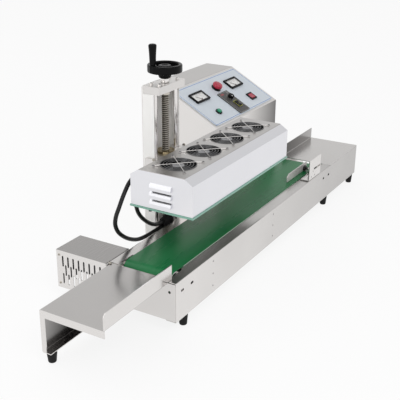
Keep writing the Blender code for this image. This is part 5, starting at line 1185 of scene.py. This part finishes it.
def belt():
    """Endless belt: a flat section with round edges carried along a stadium round both rollers."""
    _, _, middle, size = node_box("conveyor_belt")
    radius = (size[2] - BELT_SHEET) / 2
    half = (size[0] - BELT_SHEET) / 2 - radius
    turn = np.linspace(-math.pi / 2, math.pi / 2, 40)
    x = np.concatenate((half + radius * np.cos(turn), np.linspace(half, -half, 60)[1:-1],
        -half - radius * np.cos(turn), np.linspace(-half, half, 60)[1:-1]))
    z = np.concatenate((radius * np.sin(turn), np.full(58, radius), -radius * np.sin(turn),
        np.full(58, -radius)))
    path = np.stack((middle[0] + x, np.full_like(x, middle[1]), middle[2] + z), -1)
    edge = rectangle(size[1], BELT_SHEET, 0.0007)
    piece("belt_loop", "machine_base", "belt", swept(path, edge, (0, 1, 0), closed=True),
        stands_for=["conveyor_belt"], angle=50)


def feet():
    """Tapered rubber feet with a turned-in lip and a recess for a screw from below."""
    for name in [n for n in FRAME["nodes"] if n.startswith("foot_")]:
        _, high, middle, size = node_box(name)
        t, b, h = size[0] / 2, size[0] / 2 - 0.0015, high[2]
        profile = rounded([(0, 0.003), (0.0034, 0.003), (0.0036, 0), (b - 0.0008, 0), (b, 0.0018),
            (b + 0.0002, 0.005), (t, h - 0.002), (t, h), (0, h)], 0.0008, 4)
        piece("rubber_" + name, "machine_base", "rubber", revolve(profile, (middle[0], middle[1], 0), 48),
            stands_for=[name], angle=40)


def frame_screws():
    """Tension bolts in their slots, and the tables' and the covers' pan heads."""
    d = sizes().screw_head
    low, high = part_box("front_side_panel")
    infeed, face = low[0], low[1]
    drive, tail = node_box("drive_roller")[2], node_box("tail_roller")[2]
    bolts = [socket_head(0.0041, 0.0016, facing((axle[0] + side * 0.0165, face + 0.0019, axle[2]),
        (0, -1, 0))) for axle in (drive, tail) for side in (-1, 1)]
    piece("tension_bolts", "machine_base", "moulding", *bolts, slot="bright_steel")
    top = high[2]
    rail = [pan_head(d, 0.0018, Matrix.Translation((infeed + x, y, top + 0.0002))) for x,
        y in ((0.0055, face + 0.0190), (0.0055, -0.0485))]
    piece("rail_screws", "machine_base", "oiled steel", *rail)
    cover_low, cover_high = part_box("motor_cover")
    corners = [pan_head(0.0048, 0.0014, facing((cover_low[0] + 0.00005, cover_high[1] - 0.006, z),
        (-1, 0, 0)), 24) for z in (cover_low[2] + 0.009, cover_high[2] - 0.009)]
    sides = [pan_head(0.0048, 0.0014, facing((x, cover_high[1], cover_low[2] + 0.02), (0, 1, 0)),
        24) for x in (cover_low[0] + 0.012, cover_high[0] - 0.012)]
    piece("cover_screws", "machine_base", "oiled steel", *corners, *sides)


# Cables

CABLE_LINE = node_box("head_cable_outer")[2][1]


class SEALER_OT_cables(bpy.types.Operator):
    """The head's two cables"""

    bl_idname = "sealer.cables"
    bl_label = "Cables"

    def execute(self, context):
        infeed = node_box("front_side_panel")[0][0]
        outer = [(0.1095, 0.214), (0.103, 0.214), (0.097, 0.2132), (0.085, 0.2065), (0.070, 0.191),
            (0.057, 0.174), (0.047, 0.160), (0.0445, 0.146), (0.052, 0.130), (0.069, 0.114),
            (0.090, 0.101), (0.112, 0.0925), (0.136, 0.0892), (0.160, 0.0886), (0.1805, 0.0886),
            (0.1945, 0.0886)]
        inner = [(0.105, 0.1905), (0.105, 0.185), (0.105, 0.179), (0.1055, 0.169), (0.1075, 0.158),
            (0.113, 0.144), (0.124, 0.130), (0.140, 0.116), (0.157, 0.105), (0.171, 0.0995),
            (0.1805, 0.0981), (0.1945, 0.0981)]
        for name, route in (("head_cable_outer", outer), ("head_cable_inner", inner)):
            line = smooth_line([(infeed + x, CABLE_LINE, z) for x, z in route])
            cable("sheathed_" + name, line, name)
        return {"FINISHED"}


def cable(name, line, node):
    """Round sheath along the line."""
    radius = sizes().cable_diameter / 2
    made = piece(name, None, "sheath", swept(line, disc_outline(radius, 18), (0, 1, 0)),
        stands_for=[node])
    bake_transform(made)


# Controls

METER_SIZE = (0.053, 0.0285)
METER_BORDER = 0.0035
METER_FLOOR = 0.0014
METER_RISE = 0.004
NEEDLE_PIVOT = 0.0028
SCALE_RADIUS = 0.0162
CONTROLLER_SIZE = (0.0435, 0.0695)
CONTROLLER_BELOW_KNOB = (0.0055, 0.0140)


def panel_place(name):
    """Place of a control across and up the panel, from the middle of its frame node."""
    middle = PANEL.inverted() @ Vector(node_box(name)[2])
    return middle.x, middle.y


KNOB = panel_place("speed_knob")
RUN = panel_place("run_switch")
POWER = panel_place("power_rocker")
METERS = {side: panel_place(f"meter_{side}") for side in ("left", "right")}
CONTROLLER = (KNOB[0] - CONTROLLER_BELOW_KNOB[0], KNOB[1] - CONTROLLER_BELOW_KNOB[1])


class SEALER_OT_controls(bpy.types.Operator):
    """Dials, buttons, knob and switch bezels of the control panel"""

    bl_idname = "sealer.controls"
    bl_label = "Controls"

    def execute(self, context):
        for side, place in METERS.items():
            dial(side, place)
        emergency_button()
        start_button()
        speed_knob()
        switch_bezels()
        return {"FINISHED"}


def on_panel(place, height=0.0):
    """Matrix of a place on the panel, Z outwards."""
    return PANEL @ Matrix.Translation((place[0], place[1], height))


def dial(side, place):
    """White dial under a clear window in a rounded bezel."""
    w, h = (length - 2 * METER_BORDER for length in METER_SIZE)
    floor = PANEL_TOP + METER_FLOOR
    plate = moved(slab(rectangle(w - 0.0004, h - 0.0004, 0.0008), floor, floor + 0.00015),
        on_panel(place))
    piece(f"dial_{side}", "machine_base", dial_finish(side, place), plate, slot="meter_black")
    bezel = frame_slab(rectangle(METER_SIZE[0] - 0.0003, METER_SIZE[1] - 0.0003, 0.0016),
        rectangle(w - 0.0006, h - 0.0006, 0.0008), PANEL_TOP + 0.0006, PANEL_TOP + METER_RISE, 0.0006)
    piece(f"bezel_{side}", "machine_base", "bakelite", moved(bezel, on_panel(place)), slot="meter_black")
    glass = slab(rectangle(w, h, 0.0008), PANEL_TOP + 0.00345, PANEL_TOP + 0.0038, 0.0001)
    piece(f"window_{side}", "machine_base", window_finish(side), moved(glass, on_panel(place)),
        slot="meter_black")


def panel_coordinates(made, place=(0, 0)):
    """Across, up and out from a place on the panel."""
    turned = made.place(tuple(PANEL.translation), (-SLOPE, 0, 0))
    x, s, z = made.split(turned)
    return x - place[0], s - place[1], z


def dial_finish(side, place):
    """White card with a printed arc, ticks along it and a red last stretch."""
    made = Finish(f"dial_card_{side}", (0.86, 0.86, 0.84), 0.55)
    x, s, _ = panel_coordinates(made,
        (place[0], place[1] - METER_SIZE[1] / 2 + METER_BORDER + NEEDLE_PIVOT))
    radius = apart(x, s)
    angle = x.math("ARCTAN2", x, s)
    within = angle.size().under(math.radians(46))
    arc = radius.band(SCALE_RADIUS - 0.0006, 0.00012)
    ticks = angle.repeat(math.radians(11.25)).under(math.radians(0.5))
    ticks = ticks * radius.band(SCALE_RADIUS - 0.0012, 0.0006)
    end = radius.band(SCALE_RADIUS - 0.0001, 0.0003) * angle.above(math.radians(28)) * within
    marks = arc.most(ticks) * within
    cloud = made.clouds(180.0)
    paper = made.mix(cloud, (0.82, 0.82, 0.80), (0.90, 0.90, 0.89))
    return made.done(made.mix(end, made.mix(marks, paper, (0.12, 0.12, 0.12)), (0.55, 0.02, 0.02)),
        0.5 + cloud * 0.1)


def window_finish(side):
    """Clear plastic, hardly there but for its gloss."""
    made = Finish(f"clear_window_{side}", (0.95, 0.96, 0.96), 0.05, Alpha=0.10)
    cloud = made.clouds(90.0)
    return made.done(None, 0.04 + cloud * 0.05)


def emergency_button():
    """Mushroom button: a skirt, a rolled shoulder and a dished crown."""
    place = panel_place("estop_button")
    low = PANEL_TOP + 0.0053
    r, stem = 0.0115, 0.005
    profile = rounded([(0, -0.008), (stem, -0.008), (stem, low), (r - 0.0016, low), (r, low + 0.0014),
        (r, low + 0.0050), (r - 0.0016, low + 0.0080), (r - 0.0055, low + 0.0089), (0, low + 0.0090)],
        0.0016, 5)
    button = moved(revolve(profile, count=64), on_panel(place))
    piece("mushroom_button", "estop", "red", button, stands_for=["estop_button"], angle=50)
    ring_low, ring_high = PANEL_TOP + 0.0001, PANEL_TOP + 0.0022
    sleeve = revolve(rounded([(0.0056, ring_low), (0.0112, ring_low), (0.0108, ring_high),
        (0.0056, ring_high)], 0.0005, 3, closed=True), count=56, closed=True)
    piece("button_sleeve", "machine_base", "moulding", moved(sleeve, on_panel(place)))


def start_button():
    """Green cap with a soft crown in a black collar."""
    place = panel_place("start_button")
    high = PANEL_TOP + 0.0068
    r = 0.00525
    profile = rounded([(0, -0.006), (r, -0.006), (r, high - 0.0006), (r - 0.0015, high - 0.0001),
        (0, high)], 0.0009, 4)
    piece("start_cap", "start", "green", moved(revolve(profile, count=44), on_panel(place)),
        stands_for=["start_button"], angle=50)
    collar = rounded([(r + 0.0004, PANEL_TOP + 0.0001), (0.0079, PANEL_TOP + 0.0001),
        (0.0076, PANEL_TOP + 0.0032), (r + 0.0004, PANEL_TOP + 0.0032)], 0.0006, 4, closed=True)
    piece("start_collar", "machine_base", "moulding", moved(revolve(collar, count=44, closed=True),
        on_panel(place)))


def speed_knob():
    """Fluted knob: the radius of its skirt follows a wave of the angle."""
    low, high = PANEL_TOP + 0.0033, PANEL_TOP + 0.0098
    r, shaft = 0.0069, 0.003

    def flutes(angle, height):
        share = np.clip((height - low - 0.0008) / 0.0006, 0,
            1) * np.clip((high - 0.0004 - height) / 0.0006, 0, 1)
        return 1 - 0.045 * share * (0.5 + 0.5 * np.cos(18 * angle)) ** 2

    profile = rounded([(0, -0.008), (shaft, -0.008), (shaft, low), (r, low), (r, low + 0.0012),
        (r, low + 0.003), (r - 0.0004, high - 0.0012), (r - 0.0010, high), (r - 0.0022, high),
        (r - 0.0026, high - 0.0005), (0, high - 0.0005)], 0.0003, 2)
    knob = moved(revolve(profile, count=144, wave=flutes), on_panel(KNOB))
    piece("fluted_knob", "speed", "bakelite", knob, stands_for=["speed_knob"])
    mark = slab(box_outline((-0.00055, 0.0012), (0.00055, r - 0.0009), 0.0002, 2), high - 0.0006,
        high + 0.00005)
    low_end = on_panel(KNOB) @ Matrix.Rotation(math.radians(135), 4, "Z")
    piece("knob_mark", "speed", "white paint", moved(mark, low_end))


def switch_bezels():
    """Raised lips round both rockers."""
    top = PANEL_TOP + 0.002
    power = frame_slab(rectangle(0.0235, 0.0215, 0.0012), rectangle(0.0176, 0.0158, 0.0006), top - 0.0012,
        top + 0.0009, 0.0007)
    piece("power_bezel", "machine_base", "moulding", moved(power, on_panel(POWER)))
    top = PANEL_TOP + 0.0040
    run = frame_slab(rectangle(0.0150, 0.0205, 0.0010), rectangle(0.0121, 0.0176, 0.0005), top - 0.0012,
        top + 0.0003, 0.0004)
    piece("run_bezel", "machine_base", "yellow paint", moved(run, on_panel(RUN)))


# Small parts

class SEALER_OT_small_parts(bpy.types.Operator):
    """Gland nuts, guide knob and edge rounding of the sheets"""

    bl_idname = "sealer.small_parts"
    bl_label = "Small parts"

    def execute(self, context):
        gland_nuts()
        guide_knob()
        ease_edges()
        return {"FINISHED"}


def gland_nuts():
    """Ribbed clamp nuts where both cables leave their elbows."""
    infeed = node_box("front_side_panel")[0][0]

    def ribs(angle, height):
        return 1 - 0.05 * (0.5 + 0.5 * np.cos(14 * angle)) ** 2

    profile = rounded([(0.0041, 0), (0.0070, 0), (0.0074, 0.0012), (0.0074, 0.0062), (0.0060, 0.0086),
        (0.0046, 0.0100), (0.0041, 0.0100)], 0.0005, 3, closed=True)
    nut = revolve(profile, count=84, closed=True, wave=ribs)
    outer = moved(nut, facing((infeed + 0.1115, CABLE_LINE, 0.214), (-1, 0, 0)))
    inner = moved(nut, facing((infeed + 0.105, CABLE_LINE, 0.1935), (0, 0, -1)))
    piece("gland_nuts", "sealing_head", "moulding", outer, inner)


def guide_knob():
    """Knurled thumb nut of the guide's rod."""
    _, high, middle, size = node_box("guide_knob")
    radius = size[1] / 2

    def knurl(angle, height):
        return 1 - 0.06 * (0.5 + 0.5 * np.cos(20 * angle))

    length = min(0.010, size[0])
    profile = rounded([(0, 0), (radius, 0), (radius, length), (0, length)], 0.0006, 3)
    nut = moved(revolve(profile, count=100, wave=knurl), facing((high[0] - length, middle[1], middle[2]),
        (1, 0, 0)))
    piece("thumb_nut", "guide_clamp", "bakelite", nut)


# Nodes by the width of their eased edges
EASED = {
    0.0002: "control_panel",
    0.0003: "guide_bracket guide_plate run_switch infeed_end_plate cabinet_back",
    0.0004: "front_side_panel back_side_panel infeed_table outfeed_table motor_cover column_cap"
            " column_channel column_base head_base_plate power_rocker gear_motor",
    0.0005: "head_shell lift_carriage",
    0.0006: "cabinet_shell",
}


def ease_edges():
    """Small radius on the sharp edges of sheets and blocks, so that they catch the light."""
    for width, names in EASED.items():
        for name in names.split():
            bevel = FRAME["nodes"][name].modifiers.new("eased edges", "BEVEL")
            bevel.width, bevel.segments = width, 2
            bevel.limit_method, bevel.angle_limit = "ANGLE", math.radians(40)
            bevel.use_clamp_overlap = bevel.harden_normals = True


# Add-on

PROPERTIES = (SealerSizes, SealerColours, SealerStage)
STEPS = [SEALER_OT_frame_finishes, SEALER_OT_column, SEALER_OT_fans, SEALER_OT_conveyor, SEALER_OT_cables,
    SEALER_OT_controls, SEALER_OT_small_parts, SEALER_OT_stage]


class SEALER_PT_panel(bpy.types.Panel):
    """Sidebar panel that lists the settings and the steps"""

    bl_idname = "SEALER_PT_panel"
    bl_label = "Cap sealer"
    bl_space_type = "VIEW_3D"
    bl_region_type = "UI"
    bl_category = "Sealer"

    def draw(self, context):
        for label in ("sealer_sizes", "sealer_colours", "sealer_stage"):
            group = getattr(context.scene, label)
            for key in group.__annotations__:
                self.layout.prop(group, key)
        for step in STEPS:
            self.layout.operator(step.bl_idname)


def register():
    for group in (*PROPERTIES, *STEPS, SEALER_PT_panel):
        bpy.utils.register_class(group)
    bpy.types.Scene.sealer_sizes = PointerProperty(type=SealerSizes)
    bpy.types.Scene.sealer_colours = PointerProperty(type=SealerColours)
    bpy.types.Scene.sealer_stage = PointerProperty(type=SealerStage)


def unregister():
    del bpy.types.Scene.sealer_sizes, bpy.types.Scene.sealer_colours, bpy.types.Scene.sealer_stage
    for group in reversed((*PROPERTIES, *STEPS, SEALER_PT_panel)):
        bpy.utils.unregister_class(group)


def main():
    """Makes the whole scene, one step after another."""
    register()
    for step in STEPS:
        group, action = step.bl_idname.split(".")
        getattr(getattr(bpy.ops, group), action)()


if __name__ == "__main__":
    main()
